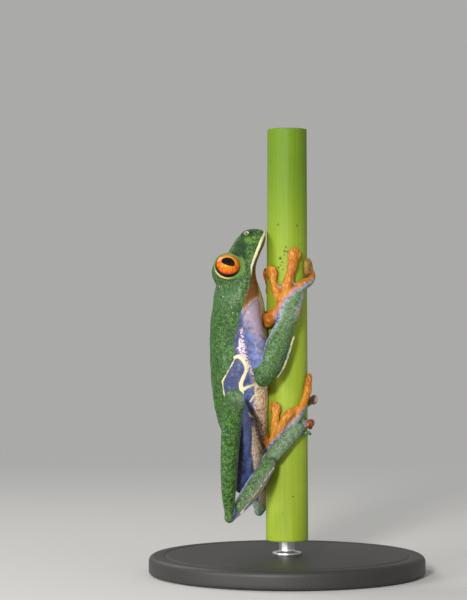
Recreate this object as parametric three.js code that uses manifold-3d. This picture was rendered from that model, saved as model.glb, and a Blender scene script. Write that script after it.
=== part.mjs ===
// A life-size red-eyed tree frog that climbs an upright cut stem, on a small display stand.
// Millimetres, +Z up. The origin is the middle of the stand's underside, and the stem rises along Z.
// The frog is head up on the -X side of the stem with its belly against it. Its right side faces -Y,
// its right limbs hold the -Y side of the stem and its left limbs the +Y side.
import * as THREE from "three";
import { mergeVertices } from "three/addons/utils/BufferGeometryUtils.js";
import Module from "manifold-3d";

const wasm = await Module();
wasm.setup();

// ---- driving dimensions -------------------------------------------------------------------------

const GAP = 0.3; // between pieces that meet
const BASE_RADIUS = 38;
const BASE_HEIGHT = 5;
const BASE_CHAMFER = 0.8;
const ROD_RADIUS = 2.2;
const ROD_FLANGE_RADIUS = 4;
const STEM_BOTTOM = 9;
const STEM_TOP = 122;
const STEM_RADIUS_LOW = 5.88; // at STEM_BOTTOM
const STEM_RADIUS_HIGH = 5.46; // at STEM_TOP
const EYE_RADIUS = 3.68;
const EYE_CENTRE = [-16.3, 7.4, 83.7]; // Y is the distance from the middle plane
const GAZE = [0.1, 0.83, 0.55]; // outwards, and forwards along the snout
const LID_RADIUS = 0.44; // thickness of the rim that rings the eye
const LID_RING = 3.5;
const LID_FORWARD = 1.7; // of the eye's centre, along the gaze
const NOSTRIL = [-11.15, 3.6, 93.15];
const NOSTRIL_RADIUS = 0.36;
const EARDRUM_CENTRE = [-15.7, 9.5, 78.0];
const EARDRUM_RADIUS = 1.2;
const NECK_PLANE = { normal: [0.18, 0, 0.984], through: [-14, 0, 72.6] };

// Head and trunk, from the snout to the vent. Each section joins a point on the back to a point on the
// throat or belly: [back x, back z, belly x, belly z, widest level from belly to back, half width, squareness]
const SNOUT_TIP = [-9.0, 94.7];
const VENT_TIP = [-9.2, 23.6];
const TORSO_SECTIONS = [
  [-11.45, 94.22, -6.5, 94.0, 0.38, 2.9, 2.3],
  [-12.2, 93.55, -6.05, 93.0, 0.3, 4.0, 2.5],
  [-13.9, 91.5, -6.3, 90.5, 0.22, 6.0, 2.6],
  [-15.9, 88.6, -7.5, 87.6, 0.2, 7.5, 2.6],
  [-17.4, 85.0, -8.65, 84.2, 0.2, 8.8, 2.4],
  [-18.6, 81.6, -8.5, 81.2, 0.27, 9.8, 2.3],
  [-19.6, 78.2, -7.5, 77.9, 0.37, 10.5, 2.2],
  [-20.4, 74.6, -6.5, 74.5, 0.44, 10.5, 2.1],
  [-20.9, 70.5, -6.1, 70.9, 0.46, 9.8, 2.1],
  [-21.2, 65.0, -5.5, 65.4, 0.47, 9.6, 2.1],
  [-21.2, 59.6, -5.3, 59.6, 0.47, 10.2, 2.1],
  [-20.9, 53.4, -5.2, 53.4, 0.47, 10.8, 2.1],
  [-20.2, 47.5, -5.1, 47.0, 0.47, 10.6, 2.1],
  [-18.8, 41.9, -5.2, 40.5, 0.47, 9.6, 2.1],
  [-16.8, 36.6, -5.6, 34.6, 0.47, 8.0, 2.1],
  [-14.6, 31.9, -6.2, 29.8, 0.48, 6.4, 2.1],
  [-12.4, 28.0, -7.0, 26.2, 0.5, 4.6, 2.0],
  [-10.9, 25.2, -7.8, 24.2, 0.5, 2.5, 2.0],
];

// Joint centres of the two sides. The left side holds on a little lower with its foot.
const RIGHT = {
  name: "right",
  side: -1,
  shoulder: [-10.2, -7.4, 73.4],
  elbow: [-6.6, -12.0, 54.2],
  wrist: [0.3, -9.2, 70.6],
  hip: [-11.4, -4.8, 26.8],
  knee: [-14.4, -27.0, 48.8],
  heel: [-15.8, -16.0, 16.6],
  ankle: [-4.9, -9.4, 31.8],
  handTurn: 0,
  handLift: 0,
  footTurn: 0,
  footLift: 0,
};
const LEFT = {
  name: "left",
  side: 1,
  shoulder: [-10.2, 7.4, 73.4],
  elbow: [-7.4, 12.2, 53.6],
  wrist: [-1.4, 9.1, 70.0],
  hip: [-11.4, 4.8, 26.8],
  knee: [-13.2, 26.6, 46.8],
  heel: [-7.5, 15.6, 15.4],
  ankle: [-3.6, 9.2, 26.8],
  handTurn: -12,
  handLift: -0.6,
  footTurn: 8,
  footLift: -5.4,
};

// Limb segments: half width at even steps from the first joint to the second, thickness over width,
// and how far the middle bows out of the straight line [x, outwards, z].
const UPPER_ARM = { radii: [2.5, 2.35, 2.6, 2.5, 2.3], flat: 0.92, bow: [-0.3, 0.9, 0] };
const FOREARM = { radii: [2.55, 3.3, 3.3, 3.0, 2.7, 2.55], flat: 0.8, bow: [0, 0.5, 0] };
const THIGH = { radii: [4.9, 4.9, 4.3, 3.6, 2.7], flat: 0.9, bow: [0, 0.2, 0.2] };
const SHANK = { radii: [2.75, 2.6, 2.45, 2.2, 1.85, 1.15], flat: 0.9, bow: [-0.7, 0.5, 0] };
const TARSUS = { radii: [1.05, 1.85, 2.4, 2.3, 2.0], flat: 0.8, bow: [0.7, 0.2, -0.2] };

// Hand and foot lie on the stem, in stem coordinates [angle from -Y towards +X in degrees, z, lift off the stem].
const PALM = { end: [10, 76.0, 1.7], r0: 2.4, r1: 2.9, flat: 0.6 };
const SOLE = { end: [20, 40.0, 1.5], r0: 1.95, r1: 2.0, flat: 0.76 };
const FINGERS = [
  { path: [[-12, 72.4, 1.8], [-30, 70.8, 1.8], [-48, 69.5, 1.5]], r0: 1.9, r1: 1.75, disc: [1.95, 1.9] },
  { path: [[-12, 74.6, 1.7], [-27, 77.7, 1.4], [-35, 79.9, 1.1], [-43, 82.2, 0.75]], r0: 1.5, r1: 1.0, disc: [2.0, 2.3] },
  { path: [[-7, 75.0, 1.8], [-2, 78.6, 1.6], [8, 82.8, 1.2], [17, 87.0, 0.75]], r0: 1.6, r1: 1.2, disc: [1.95, 2.15] },
  { path: [[12, 77.0, 1.6], [34, 79.0, 1.8], [57, 80.4, 2.0], [72, 81.9, 1.6], [63, 83.7, 0.8]], r0: 1.5, r1: 0.85, disc: [2.1, 2.6] },
];
const TOES = [
  { path: [[-38, 34.2, 1.8], [-52, 36.2, 1.5], [-66, 38.4, 0.9]], r0: 1.05, r1: 0.95, disc: [1.15, 1.2] },
  { path: [[-33, 36.0, 1.8], [-28, 39.8, 1.6], [-28, 43.2, 1.2], [-31, 45.2, 0.8]], r0: 1.2, r1: 1.2, disc: [1.75, 1.95] },
  { path: [[-20, 37.6, 1.9], [-9, 41.8, 2.1], [5, 44.3, 1.9], [21, 45.0, 1.3], [36, 45.4, 0.8]], r0: 1.15, r1: 1.0, disc: [1.5, 1.6] },
  { path: [[5, 39.4, 1.8], [20, 42.9, 1.9], [33, 46.2, 1.8], [48, 49.7, 1.5], [65, 53.1, 0.8]], r0: 1.2, r1: 1.0, disc: [1.4, 1.8] },
  { path: [[24, 40.4, 1.5], [46, 41.2, 1.7], [68, 41.4, 1.4], [88, 40.8, 0.8]], r0: 1.05, r1: 0.9, disc: [1.4, 1.6] },
];
// The left foot's two outer toes take other paths.
const LEFT_TOES = {
  3: [[5, 39.4, 1.8], [13, 43.6, 1.9], [22, 48.0, 1.8], [40, 51.8, 1.6], [70, 52.9, 1.9]],
  4: [[16, 40.2, 1.5], [22, 41.0, 1.7], [28, 41.3, 1.3], [33, 41.0, 0.8]],
};
const DISC_HALF_THICKNESS = 0.72;
const HAND_WEBS = [[0, 1, 0.36, 0.36], [1, 2, 0.66, 0.56], [2, 3, 0.62, 0.5]]; // [digit, next digit, reach along each]
const FOOT_WEBS = [[1, 2, 0.55, 0.44], [2, 3, 0.66, 0.56], [3, 4, 0.5, 0.6]];
const WEB_HALF_THICKNESS = 0.28;
const PAW_SIMPLIFY = 0.1; // how far a hand's or foot's facets may move when its smallest ones are merged

// ---- solids ---------------------------------------------------------------------------------------

// A closed three.js geometry as a solid. Only its positions count.
function solid(geometry) {
  const bare = new THREE.BufferGeometry().setAttribute("position", geometry.getAttribute("position"));
  if (geometry.index) bare.setIndex(geometry.index);
  const merged = mergeVertices(bare, 1e-4);
  const mesh = new wasm.Mesh({
    numProp: 3,
    vertProperties: Float32Array.from(merged.getAttribute("position").array),
    triVerts: Uint32Array.from(merged.index.array),
  });
  return new wasm.Manifold(mesh);
}

function join(pieces) {
  return pieces.reduce((sum, piece) => sum.add(piece));
}

function cut(piece, cutters) {
  return cutters.reduce((rest, cutter) => rest.subtract(cutter), piece);
}

// The largest body of a solid: a cut can leave a sliver on the far side of its cutter.
function largest(piece) {
  return piece.decompose().reduce((a, b) => (b.volume() > a.volume() ? b : a));
}

// A closed loft through rings of points, each ring wound the same way, with a point at each end.
function loft(firstPoint, rings, lastPoint) {
  const sides = rings[0].length;
  const positions = [firstPoint, ...rings.flat(), lastPoint].flatMap((p) => [p.x, p.y, p.z]);
  const last = rings.length * sides + 1;
  const faces = [];
  for (let k = 0; k < sides; k++) {
    const next = (k + 1) % sides;
    faces.push(0, 1 + next, 1 + k);
    faces.push(last, last - sides + k, last - sides + next);
    for (let r = 0; r + 1 < rings.length; r++) {
      const a = 1 + r * sides;
      const b = a + sides;
      faces.push(a + k, a + next, b + next, a + k, b + next, b + k);
    }
  }
  const geometry = new THREE.BufferGeometry();
  geometry.setAttribute("position", new THREE.BufferAttribute(new Float32Array(positions), 3));
  geometry.setIndex(faces);
  const made = solid(geometry);
  if (made.volume() > 0) return made;
  geometry.setIndex(faces.map((_, i) => faces[i - (i % 3) + 2 - (i % 3)]));
  return solid(geometry);
}

const vec = (p) => new THREE.Vector3(...p);

// A smooth curve through rows of numbers, sampled at a share of its way from the first row to the last.
function alongRows(rows, share) {
  const at = share * (rows.length - 1);
  const i = Math.min(Math.floor(at), rows.length - 2);
  const t = at - i;
  const pick = (j) => rows[Math.max(0, Math.min(rows.length - 1, j))];
  return rows[i].map((_, k) => {
    const [a, b, c, d] = [pick(i - 1)[k], pick(i)[k], pick(i + 1)[k], pick(i + 2)[k]];
    return 0.5 * (2 * b + (c - a) * t + (2 * a - 5 * b + 4 * c - d) * t * t + (3 * b - a - 3 * c + d) * t * t * t);
  });
}

const signedPower = (value, power) => Math.sign(value) * Math.abs(value) ** power;

// Head and trunk in one, grown outwards by some millimetres.
function torso(grow = 0) {
  const rings = [];
  const steps = 22;
  const sides = 14;
  for (let s = 0; s <= steps; s++) {
    const [bx, bz, vx, vz, level, half, square] = alongRows(TORSO_SECTIONS, s / steps);
    const back = new THREE.Vector3(bx, 0, bz);
    const belly = new THREE.Vector3(vx, 0, vz);
    const up = back.clone().sub(belly).normalize();
    const depth = back.distanceTo(belly);
    const centre = belly.clone().lerp(back, level);
    const ring = [];
    for (let k = 0; k < sides; k++) {
      const turn = (2 * Math.PI * (k + 0.5)) / sides;
      const across = (half + grow) * signedPower(Math.cos(turn), 2 / square);
      const reach = Math.sin(turn) > 0 ? depth * (1 - level) + grow : depth * level + grow;
      const rise = reach * signedPower(Math.sin(turn), 2 / square);
      ring.push(centre.clone().addScaledVector(up, rise).add(new THREE.Vector3(0, across, 0)));
    }
    rings.push(ring);
  }
  const snout = new THREE.Vector3(SNOUT_TIP[0], 0, SNOUT_TIP[1] + grow);
  const vent = new THREE.Vector3(VENT_TIP[0], 0, VENT_TIP[1] - grow);
  return loft(snout, rings, vent);
}

// A tapered limb with domed ends along a curve, wide across `wide` and thinner along `thin`.
function tube(curve, halfWidth, flat, thinAt, { sides = 8, steps = 5, grow = 0 } = {}) {
  const ringAt = (t, shift, scale) => {
    const tangent = curve.getTangent(t);
    const centre = curve.getPoint(t).addScaledVector(tangent, shift);
    const thin = thinAt(t);
    thin.addScaledVector(tangent, -thin.dot(tangent)).normalize();
    const wide = tangent.clone().cross(thin);
    const radius = halfWidth(t) + grow;
    const ring = [];
    for (let k = 0; k < sides; k++) {
      const turn = (2 * Math.PI * k) / sides;
      const across = radius * scale * Math.cos(turn);
      const through = (halfWidth(t) * flat + grow) * scale * Math.sin(turn);
      ring.push(centre.clone().addScaledVector(wide, across).addScaledVector(thin, through));
    }
    return ring;
  };
  const dome = [0.72].map((share) => ({ shift: share, scale: Math.sqrt(1 - share * share) }));
  const startReach = (halfWidth(0) + grow) * Math.min(1, flat);
  const endReach = (halfWidth(1) + grow) * Math.min(1, flat);
  const rings = [
    ...dome.map((d) => ringAt(0, -d.shift * startReach, d.scale)),
    ...Array.from({ length: steps + 1 }, (_, s) => ringAt(s / steps, 0, 1)),
    ...dome.reverse().map((d) => ringAt(1, d.shift * endReach, d.scale)),
  ];
  const first = curve.getPoint(0).addScaledVector(curve.getTangent(0), -startReach);
  const last = curve.getPoint(1).addScaledVector(curve.getTangent(1), endReach);
  return loft(first, rings, last);
}

// A limb segment between two joints. `outwards` is the direction of its thinner side.
function segment(from, to, shape, side, grow = 0, outwards = [0, 1, 0]) {
  const bow = new THREE.Vector3(shape.bow[0], shape.bow[1] * side, shape.bow[2]);
  const middle = vec(from).lerp(vec(to), 0.5).addScaledVector(bow, 2);
  const curve = new THREE.QuadraticBezierCurve3(vec(from), middle, vec(to));
  const radius = (t) => alongRows(shape.radii.map((r) => [r]), Math.min(1, Math.max(0, t)))[0];
  return tube(curve, radius, shape.flat, () => vec(outwards), { grow });
}

// ---- things on the stem ---------------------------------------------------------------------------

function stemRadius(z) {
  const share = (z - STEM_BOTTOM) / (STEM_TOP - STEM_BOTTOM);
  return STEM_RADIUS_LOW + (STEM_RADIUS_HIGH - STEM_RADIUS_LOW) * share;
}

function stem(grow = 0) {
  const rim = 0.4; // softened edge of each cut end
  const profile = [
    [0, STEM_BOTTOM],
    [STEM_RADIUS_LOW - rim + grow, STEM_BOTTOM],
    [STEM_RADIUS_LOW + grow, STEM_BOTTOM + rim],
    [STEM_RADIUS_HIGH + grow, STEM_TOP - rim],
    [STEM_RADIUS_HIGH - rim + grow, STEM_TOP],
    [0, STEM_TOP],
  ].map(([r, z]) => new THREE.Vector2(r, z));
  return solid(new THREE.LatheGeometry(profile, 22).rotateX(Math.PI / 2));
}

// Stem coordinates to a point. The left side is the mirror image in Y.
function onStem([angle, z, lift], body, kind) {
  const turn = THREE.MathUtils.degToRad(angle + body[kind + "Turn"]);
  const height = z + body[kind + "Lift"];
  const reach = stemRadius(height) + lift;
  return new THREE.Vector3(reach * Math.sin(turn), body.side * reach * Math.cos(turn), height);
}

const offStem = (point) => new THREE.Vector3(point.x, point.y, 0).normalize();

function digitCurve(digit, body, kind) {
  return new THREE.CatmullRomCurve3(digit.path.map((p) => onStem(p, body, kind)));
}

function digitSolid(digit, body, kind) {
  const curve = digitCurve(digit, body, kind);
  const radius = (t) => digit.r0 + (digit.r1 - digit.r0) * t;
  const bone = tube(curve, radius, 0.85, (t) => offStem(curve.getPoint(t)), { sides: 5, steps: digit.path.length > 3 ? 3 : 2 });
  const tip = curve.getPoint(1);
  const along = curve.getTangent(1);
  const out = offStem(tip);
  along.addScaledVector(out, -along.dot(out)).normalize();
  const [halfWidth, halfLength] = digit.disc;
  const pad = new THREE.SphereGeometry(1, 6, 4);
  pad.scale(halfWidth, halfLength, DISC_HALF_THICKNESS);
  pad.applyMatrix4(new THREE.Matrix4().makeBasis(along.clone().cross(out), along, out));
  pad.translate(tip.x, tip.y, tip.z);
  return bone.add(solid(pad));
}

// Skin between two digits: a thin curved sheet that hollows at its free edge and follows the stem.
function web(digits, [a, b, reachA, reachB], body, kind) {
  const rows = 2;
  const columns = 2;
  const sample = (digit, share) => alongRows(digit.path, share);
  const grid = [1, -1].map((face) =>
    Array.from({ length: rows + 1 }, (_, r) =>
      Array.from({ length: columns + 1 }, (_, c) => {
        const u = c / columns;
        const v = (r / rows) * (1 - 0.45 * Math.sin(Math.PI * u));
        const mixed = sample(digits[a], v * reachA).map((x, i) =>
          THREE.MathUtils.lerp(x, sample(digits[b], v * reachB)[i], u),
        );
        const point = onStem(mixed, body, kind);
        return point.addScaledVector(offStem(point), face * WEB_HALF_THICKNESS);
      }),
    ),
  );
  // Each row of the sheet is one ring: along the outer face and back along the inner one.
  const rings = grid[0].map((row, r) => [...row, ...[...grid[1][r]].reverse()]);
  const middle = (ring) => ring.reduce((sum, p) => sum.add(p), new THREE.Vector3()).divideScalar(ring.length);
  return loft(middle(rings[0]), rings, middle(rings[rows]));
}

function paw(from, plate, digits, webs, body, kind) {
  const end = onStem(plate.end, body, kind);
  const curve = new THREE.LineCurve3(vec(from), end);
  const radius = (t) => plate.r0 + (plate.r1 - plate.r0) * t;
  const flat = plate.flat;
  const plateSolid = tube(curve, radius, flat, (t) => offStem(curve.getPoint(t)), { sides: 7, steps: 2 });
  return join([
    plateSolid,
    ...digits.map((digit) => digitSolid(digit, body, kind)),
    ...webs.map((w) => web(digits, w, body, kind)),
  ]);
}

// ---- head -----------------------------------------------------------------------------------------

const mirrored = (p, side) => new THREE.Vector3(p[0], p[1] * side, p[2]);

function eyeball(side, grow = 0) {
  const ball = new THREE.SphereGeometry(EYE_RADIUS + grow, 12, 8);
  const centre = mirrored(EYE_CENTRE, side);
  return solid(ball.translate(centre.x, centre.y, centre.z));
}

// The mound of skin that holds the eye.
function orbit(side) {
  const inward = mirrored(GAZE, side).normalize().multiplyScalar(-1.0);
  const centre = mirrored(EYE_CENTRE, side).add(inward);
  const mound = new THREE.SphereGeometry(EYE_RADIUS + 0.4, 9, 6);
  return solid(mound.translate(centre.x, centre.y, centre.z));
}

function aimed(geometry, centre, direction) {
  const turn = new THREE.Quaternion().setFromUnitVectors(new THREE.Vector3(0, 0, 1), direction);
  return geometry.applyQuaternion(turn).translate(centre.x, centre.y, centre.z);
}

function eyelid(side, grow = 0) {
  const gaze = mirrored(GAZE, side).normalize();
  const centre = mirrored(EYE_CENTRE, side).addScaledVector(gaze, LID_FORWARD);
  return solid(aimed(new THREE.TorusGeometry(LID_RING, LID_RADIUS + grow, 4, 11), centre, gaze));
}

function eardrum(side, grow = 0) {
  const facing = new THREE.Vector3(-0.35, side, -0.05).normalize();
  const drum = new THREE.CylinderGeometry(EARDRUM_RADIUS + grow, EARDRUM_RADIUS + grow, 0.9 + 2 * grow, 8);
  drum.rotateX(Math.PI / 2);
  return solid(aimed(drum, mirrored(EARDRUM_CENTRE, side), facing));
}

function nostril(side) {
  const pit = new THREE.SphereGeometry(NOSTRIL_RADIUS, 6, 4);
  const centre = mirrored(NOSTRIL, side);
  return solid(pit.translate(centre.x, centre.y, centre.z));
}

// ---- the parts ------------------------------------------------------------------------------------

const group = new THREE.Group();

const COLOURS = {
  leaf: { color: 0x3f7a3c, roughness: 0.5, metalness: 0 },
  violet: { color: 0x6f7cc0, roughness: 0.5, metalness: 0 },
  orange: { color: 0xe8802a, roughness: 0.4, metalness: 0 },
  iris: { color: 0xe65a16, roughness: 0.1, metalness: 0 },
  stalk: { color: 0x9dba3c, roughness: 0.55, metalness: 0 },
  stand: { color: 0x2c2a28, roughness: 0.45, metalness: 0 },
  rod: { color: 0xb9bbbd, roughness: 0.3, metalness: 1 },
};

function place(name, piece, colour) {
  const mesh = piece.getMesh();
  const geometry = new THREE.BufferGeometry();
  geometry.setAttribute("position", new THREE.BufferAttribute(Float32Array.from(mesh.vertProperties), 3));
  geometry.setIndex(new THREE.BufferAttribute(Uint32Array.from(mesh.triVerts), 1));
  geometry.computeVertexNormals();
  const made = new THREE.Mesh(geometry, new THREE.MeshStandardMaterial(COLOURS[colour]));
  made.name = name;
  group.add(made);
}

const stemClear = stem(GAP);
const torsoClear = torso(GAP);

// Head and trunk: one loft with the orbits, parted by a thin cut behind the jaw.
const sides = [RIGHT.side, LEFT.side];
const whole = cut(join([torso(), ...sides.map(orbit)]), [
  ...sides.map((s) => eyeball(s, GAP)),
  ...sides.map((s) => eyelid(s, GAP)),
  ...sides.map((s) => eardrum(s, GAP)),
  ...sides.map(nostril),
  stemClear,
]);
const neckNormal = vec(NECK_PLANE.normal).normalize();
const neckOffset = neckNormal.dot(vec(NECK_PLANE.through));
place("head", largest(whole.trimByPlane(neckNormal.toArray(), neckOffset + GAP / 2)), "leaf");
place("trunk", largest(whole.trimByPlane(neckNormal.clone().negate().toArray(), -neckOffset + GAP / 2)), "leaf");

for (const body of [RIGHT, LEFT]) {
  const { name, side } = body;
  place("eye_" + name, eyeball(side), "iris");
  place("eyelid_" + name, largest(cut(eyelid(side), [eyeball(side, GAP)])), "leaf");
  place("eardrum_" + name, eardrum(side), "leaf");

  const upperArm = (grow) => segment(body.shoulder, body.elbow, UPPER_ARM, side, grow);
  const forearm = (grow) => segment(body.elbow, body.wrist, FOREARM, side, grow);
  place("upper_arm_" + name, largest(cut(upperArm(0), [forearm(GAP), torsoClear, stemClear])), "violet");
  place("forearm_" + name, largest(cut(forearm(0), [torsoClear, stemClear])), "leaf");
  const hand = paw(body.wrist, PALM, FINGERS, HAND_WEBS, body, "hand");
  place("hand_" + name, largest(cut(hand, [forearm(GAP), torsoClear, stemClear]).simplify(PAW_SIMPLIFY)), "orange");

  const thigh = (grow) => segment(body.hip, body.knee, THIGH, side, grow, [1, 0, 0]);
  const shank = (grow) => segment(body.knee, body.heel, SHANK, side, grow);
  const tarsus = (grow) => segment(body.heel, body.ankle, TARSUS, side, grow);
  place("thigh_" + name, largest(cut(thigh(0), [shank(GAP), torsoClear, stemClear])), "violet");
  place("shank_" + name, largest(cut(shank(0), [torsoClear])), "leaf");
  place("tarsus_" + name, largest(cut(tarsus(0), [shank(GAP), thigh(GAP), torsoClear, stemClear])), "leaf");
  const toes = TOES.map((toe, k) => (side > 0 && LEFT_TOES[k] ? { ...toe, path: LEFT_TOES[k] } : toe));
  const foot = paw(body.ankle, SOLE, toes, FOOT_WEBS, body, "foot");
  place("foot_" + name, largest(cut(foot, [tarsus(GAP), thigh(GAP), torsoClear, stemClear]).simplify(PAW_SIMPLIFY)), "orange");
}

// ---- perch and stand ------------------------------------------------------------------------------

place("perch_stem", stem(), "stalk");

const rodProfile = [
  [0, BASE_HEIGHT],
  [ROD_FLANGE_RADIUS, BASE_HEIGHT],
  [ROD_FLANGE_RADIUS, BASE_HEIGHT + 0.8],
  [ROD_RADIUS, BASE_HEIGHT + 1.6],
  [ROD_RADIUS, STEM_BOTTOM],
  [0, STEM_BOTTOM],
].map(([r, z]) => new THREE.Vector2(r, z));
place("stand_rod", solid(new THREE.LatheGeometry(rodProfile, 12).rotateX(Math.PI / 2)), "rod");

const baseProfile = [
  [0, 0],
  [BASE_RADIUS - BASE_CHAMFER / 2, 0],
  [BASE_RADIUS, BASE_CHAMFER / 2],
  [BASE_RADIUS, BASE_HEIGHT - BASE_CHAMFER],
  [BASE_RADIUS - BASE_CHAMFER, BASE_HEIGHT],
  [0, BASE_HEIGHT],
].map(([r, z]) => new THREE.Vector2(r, z));
place("stand_base", solid(new THREE.LatheGeometry(baseProfile, 32).rotateX(Math.PI / 2)), "stand");

export default group;
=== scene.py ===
"""A life-size red-eyed tree frog on a cut green stem and a small display stand.

The frog's skin is one mesh. Its shape is a field of signed distances, made of a lofted body, tapered limbs,
digits that lie on the stem, webs, lids and folds that melt into each other, and the mesh is drawn where the
field is zero. The markings are fields too, kept on the mesh as attributes for the skin's shader.
Shapes are worked out in millimetres and written in metres.
"""

import itertools
import math

import bpy
import numpy as np
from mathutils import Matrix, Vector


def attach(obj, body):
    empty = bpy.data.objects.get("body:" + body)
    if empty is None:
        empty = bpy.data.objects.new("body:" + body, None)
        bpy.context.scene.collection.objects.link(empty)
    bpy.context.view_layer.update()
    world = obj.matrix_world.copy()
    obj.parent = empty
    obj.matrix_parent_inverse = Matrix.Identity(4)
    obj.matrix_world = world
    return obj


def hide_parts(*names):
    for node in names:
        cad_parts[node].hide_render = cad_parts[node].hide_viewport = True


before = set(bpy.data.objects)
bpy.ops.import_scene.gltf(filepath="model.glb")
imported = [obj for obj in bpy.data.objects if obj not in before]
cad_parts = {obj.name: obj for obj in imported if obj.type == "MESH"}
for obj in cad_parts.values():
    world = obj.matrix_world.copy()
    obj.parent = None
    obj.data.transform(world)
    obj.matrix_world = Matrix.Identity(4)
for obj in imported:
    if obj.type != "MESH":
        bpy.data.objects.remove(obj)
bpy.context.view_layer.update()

MM = 0.001
SKIN_PITCH, QUICK_PITCH = 0.22, 0.42  # spacing of the skin's mesh
FAR = 4.0  # what a field says outside its own box
MARGIN = 2.6  # how far that box reaches past the shape
TINY = 1e-9

# ---- the body's measures, as in the frame ----

STEM_BOTTOM, STEM_TOP = 9.0, 122.0
STEM_RADIUS_LOW, STEM_RADIUS_HIGH = 5.88, 5.46
BASE_RADIUS, BASE_HEIGHT = 38.0, 5.0
ROD_RADIUS, ROD_FLANGE_RADIUS = 2.2, 4.0

# Each section joins the back to the throat or belly:
# back x, back z, belly x, belly z, widest level from belly to back, half width, squareness
TORSO_SECTIONS = [
    (-10.5, 94.62, -7.4, 94.55, 0.42, 1.4, 2.2),
    (-11.45, 94.22, -6.5, 94.0, 0.38, 2.9, 2.3),
    (-12.2, 93.55, -6.05, 93.0, 0.30, 4.0, 2.5),
    (-13.9, 91.5, -6.3, 90.5, 0.22, 6.0, 2.6),
    (-15.9, 88.6, -7.5, 87.6, 0.20, 7.5, 2.6),
    (-17.4, 85.0, -8.65, 84.2, 0.20, 8.8, 2.4),
    (-18.6, 81.6, -8.5, 81.2, 0.27, 9.8, 2.3),
    (-19.6, 78.2, -7.5, 77.9, 0.37, 10.5, 2.2),
    (-20.4, 74.6, -6.5, 74.5, 0.44, 10.5, 2.1),
    (-20.9, 70.5, -6.1, 70.9, 0.46, 9.8, 2.1),
    (-21.2, 65.0, -5.5, 65.4, 0.47, 9.6, 2.1),
    (-21.2, 59.6, -5.3, 59.6, 0.47, 10.2, 2.1),
    (-20.9, 53.4, -5.2, 53.4, 0.47, 10.8, 2.1),
    (-20.2, 47.5, -5.1, 47.0, 0.47, 10.6, 2.1),
    (-18.8, 41.9, -5.2, 40.5, 0.47, 9.6, 2.1),
    (-16.8, 36.6, -5.6, 34.6, 0.47, 8.0, 2.1),
    (-14.6, 31.9, -6.2, 29.8, 0.48, 6.4, 2.1),
    (-12.4, 28.0, -7.0, 26.2, 0.50, 4.6, 2.0),
    (-10.9, 25.2, -7.8, 24.2, 0.50, 2.5, 2.0),
]

EYE_CENTRE = (-16.3, 7.4, 83.7)
EYE_RADIUS = 3.68
GAZE = (0.09, 0.83, 0.55)
LID_AXIS = (0.05, 0.93, 0.36)  # the middle of the opening between the lids, a little behind the gaze
LID_OPENING = math.radians(66)

# Joint centres, y outwards on each side, and how hand and foot are turned and lifted on the stem
SIDES = {
    "right": dict(
        side=-1, shoulder=(-10.2, 7.4, 73.4), elbow=(-6.6, 12.0, 54.2), wrist=(0.3, 9.2, 70.6),
        hip=(-11.4, 4.8, 26.8), knee=(-14.4, 27.0, 48.8), heel=(-15.8, 16.0, 16.6), ankle=(-4.9, 9.4, 31.8),
        hand_turn=0, hand_lift=0, foot_turn=0, foot_lift=0,
    ),
    "left": dict(
        side=1, shoulder=(-10.2, 7.4, 73.4), elbow=(-7.4, 12.2, 53.6), wrist=(-1.4, 9.1, 70.0),
        hip=(-11.4, 4.8, 26.8), knee=(-13.2, 26.6, 46.8), heel=(-7.5, 15.6, 15.4), ankle=(-3.6, 9.2, 26.8),
        hand_turn=-12, hand_lift=-0.6, foot_turn=8, foot_lift=-5.4,
    ),
}

# Joints at both ends, half widths at even steps, thickness over width, bow of the middle, thin direction
LIMBS = {
    "upper_arm": ("shoulder", "elbow", (2.5, 2.35, 2.6, 2.5, 2.3), 0.92, (-0.3, 0.9, 0.0), (0, 1, 0)),
    "forearm": ("elbow", "wrist", (2.55, 3.3, 3.3, 3.0, 2.7, 2.55), 0.8, (0.0, 0.5, 0.0), (0, 1, 0)),
    "thigh": ("hip", "knee", (4.9, 4.9, 4.3, 3.6, 2.7), 0.9, (0.0, 0.2, 0.2), (1, 0, 0)),
    "shank": ("knee", "heel", (2.75, 2.6, 2.45, 2.2, 1.85, 1.0), 0.9, (-0.7, 0.5, 0.0), (0, 1, 0)),
    "tarsus": ("heel", "ankle", (0.95, 1.85, 2.4, 2.3, 2.0), 0.8, (0.7, 0.2, -0.2), (0, 1, 0)),
}

# Digits in stem coordinates: degrees round from the near side towards +X, height, height off the stem.
# Then half widths along the digit, and the pad's half width, half length and half thickness.
FINGERS = [
    ([(-12, 72.4, 1.8), (-30, 70.8, 1.8), (-48, 69.5, 1.5)], (2.0, 1.75, 1.7, 1.85), (1.95, 1.9, 1.25)),
    ([(-12, 74.6, 1.7), (-27, 77.7, 1.4), (-35, 79.9, 1.0), (-43, 82.2, 0.6)],
     (1.6, 1.35, 1.2, 1.0, 1.05, 1.1), (2.0, 2.3, 0.75)),
    ([(-7, 75.0, 1.8), (-2, 78.6, 1.6), (8, 82.8, 1.1), (17, 87.0, 0.6)],
     (1.7, 1.4, 1.4, 1.2, 1.35, 1.15), (1.95, 2.15, 0.75)),
    ([(12, 77.0, 1.6), (34, 79.0, 1.8), (57, 80.4, 2.0), (72, 81.9, 1.6), (63, 83.7, 0.8)],
     (1.7, 1.4, 1.1, 0.95, 0.85), (2.25, 2.95, 1.1)),
]
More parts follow.
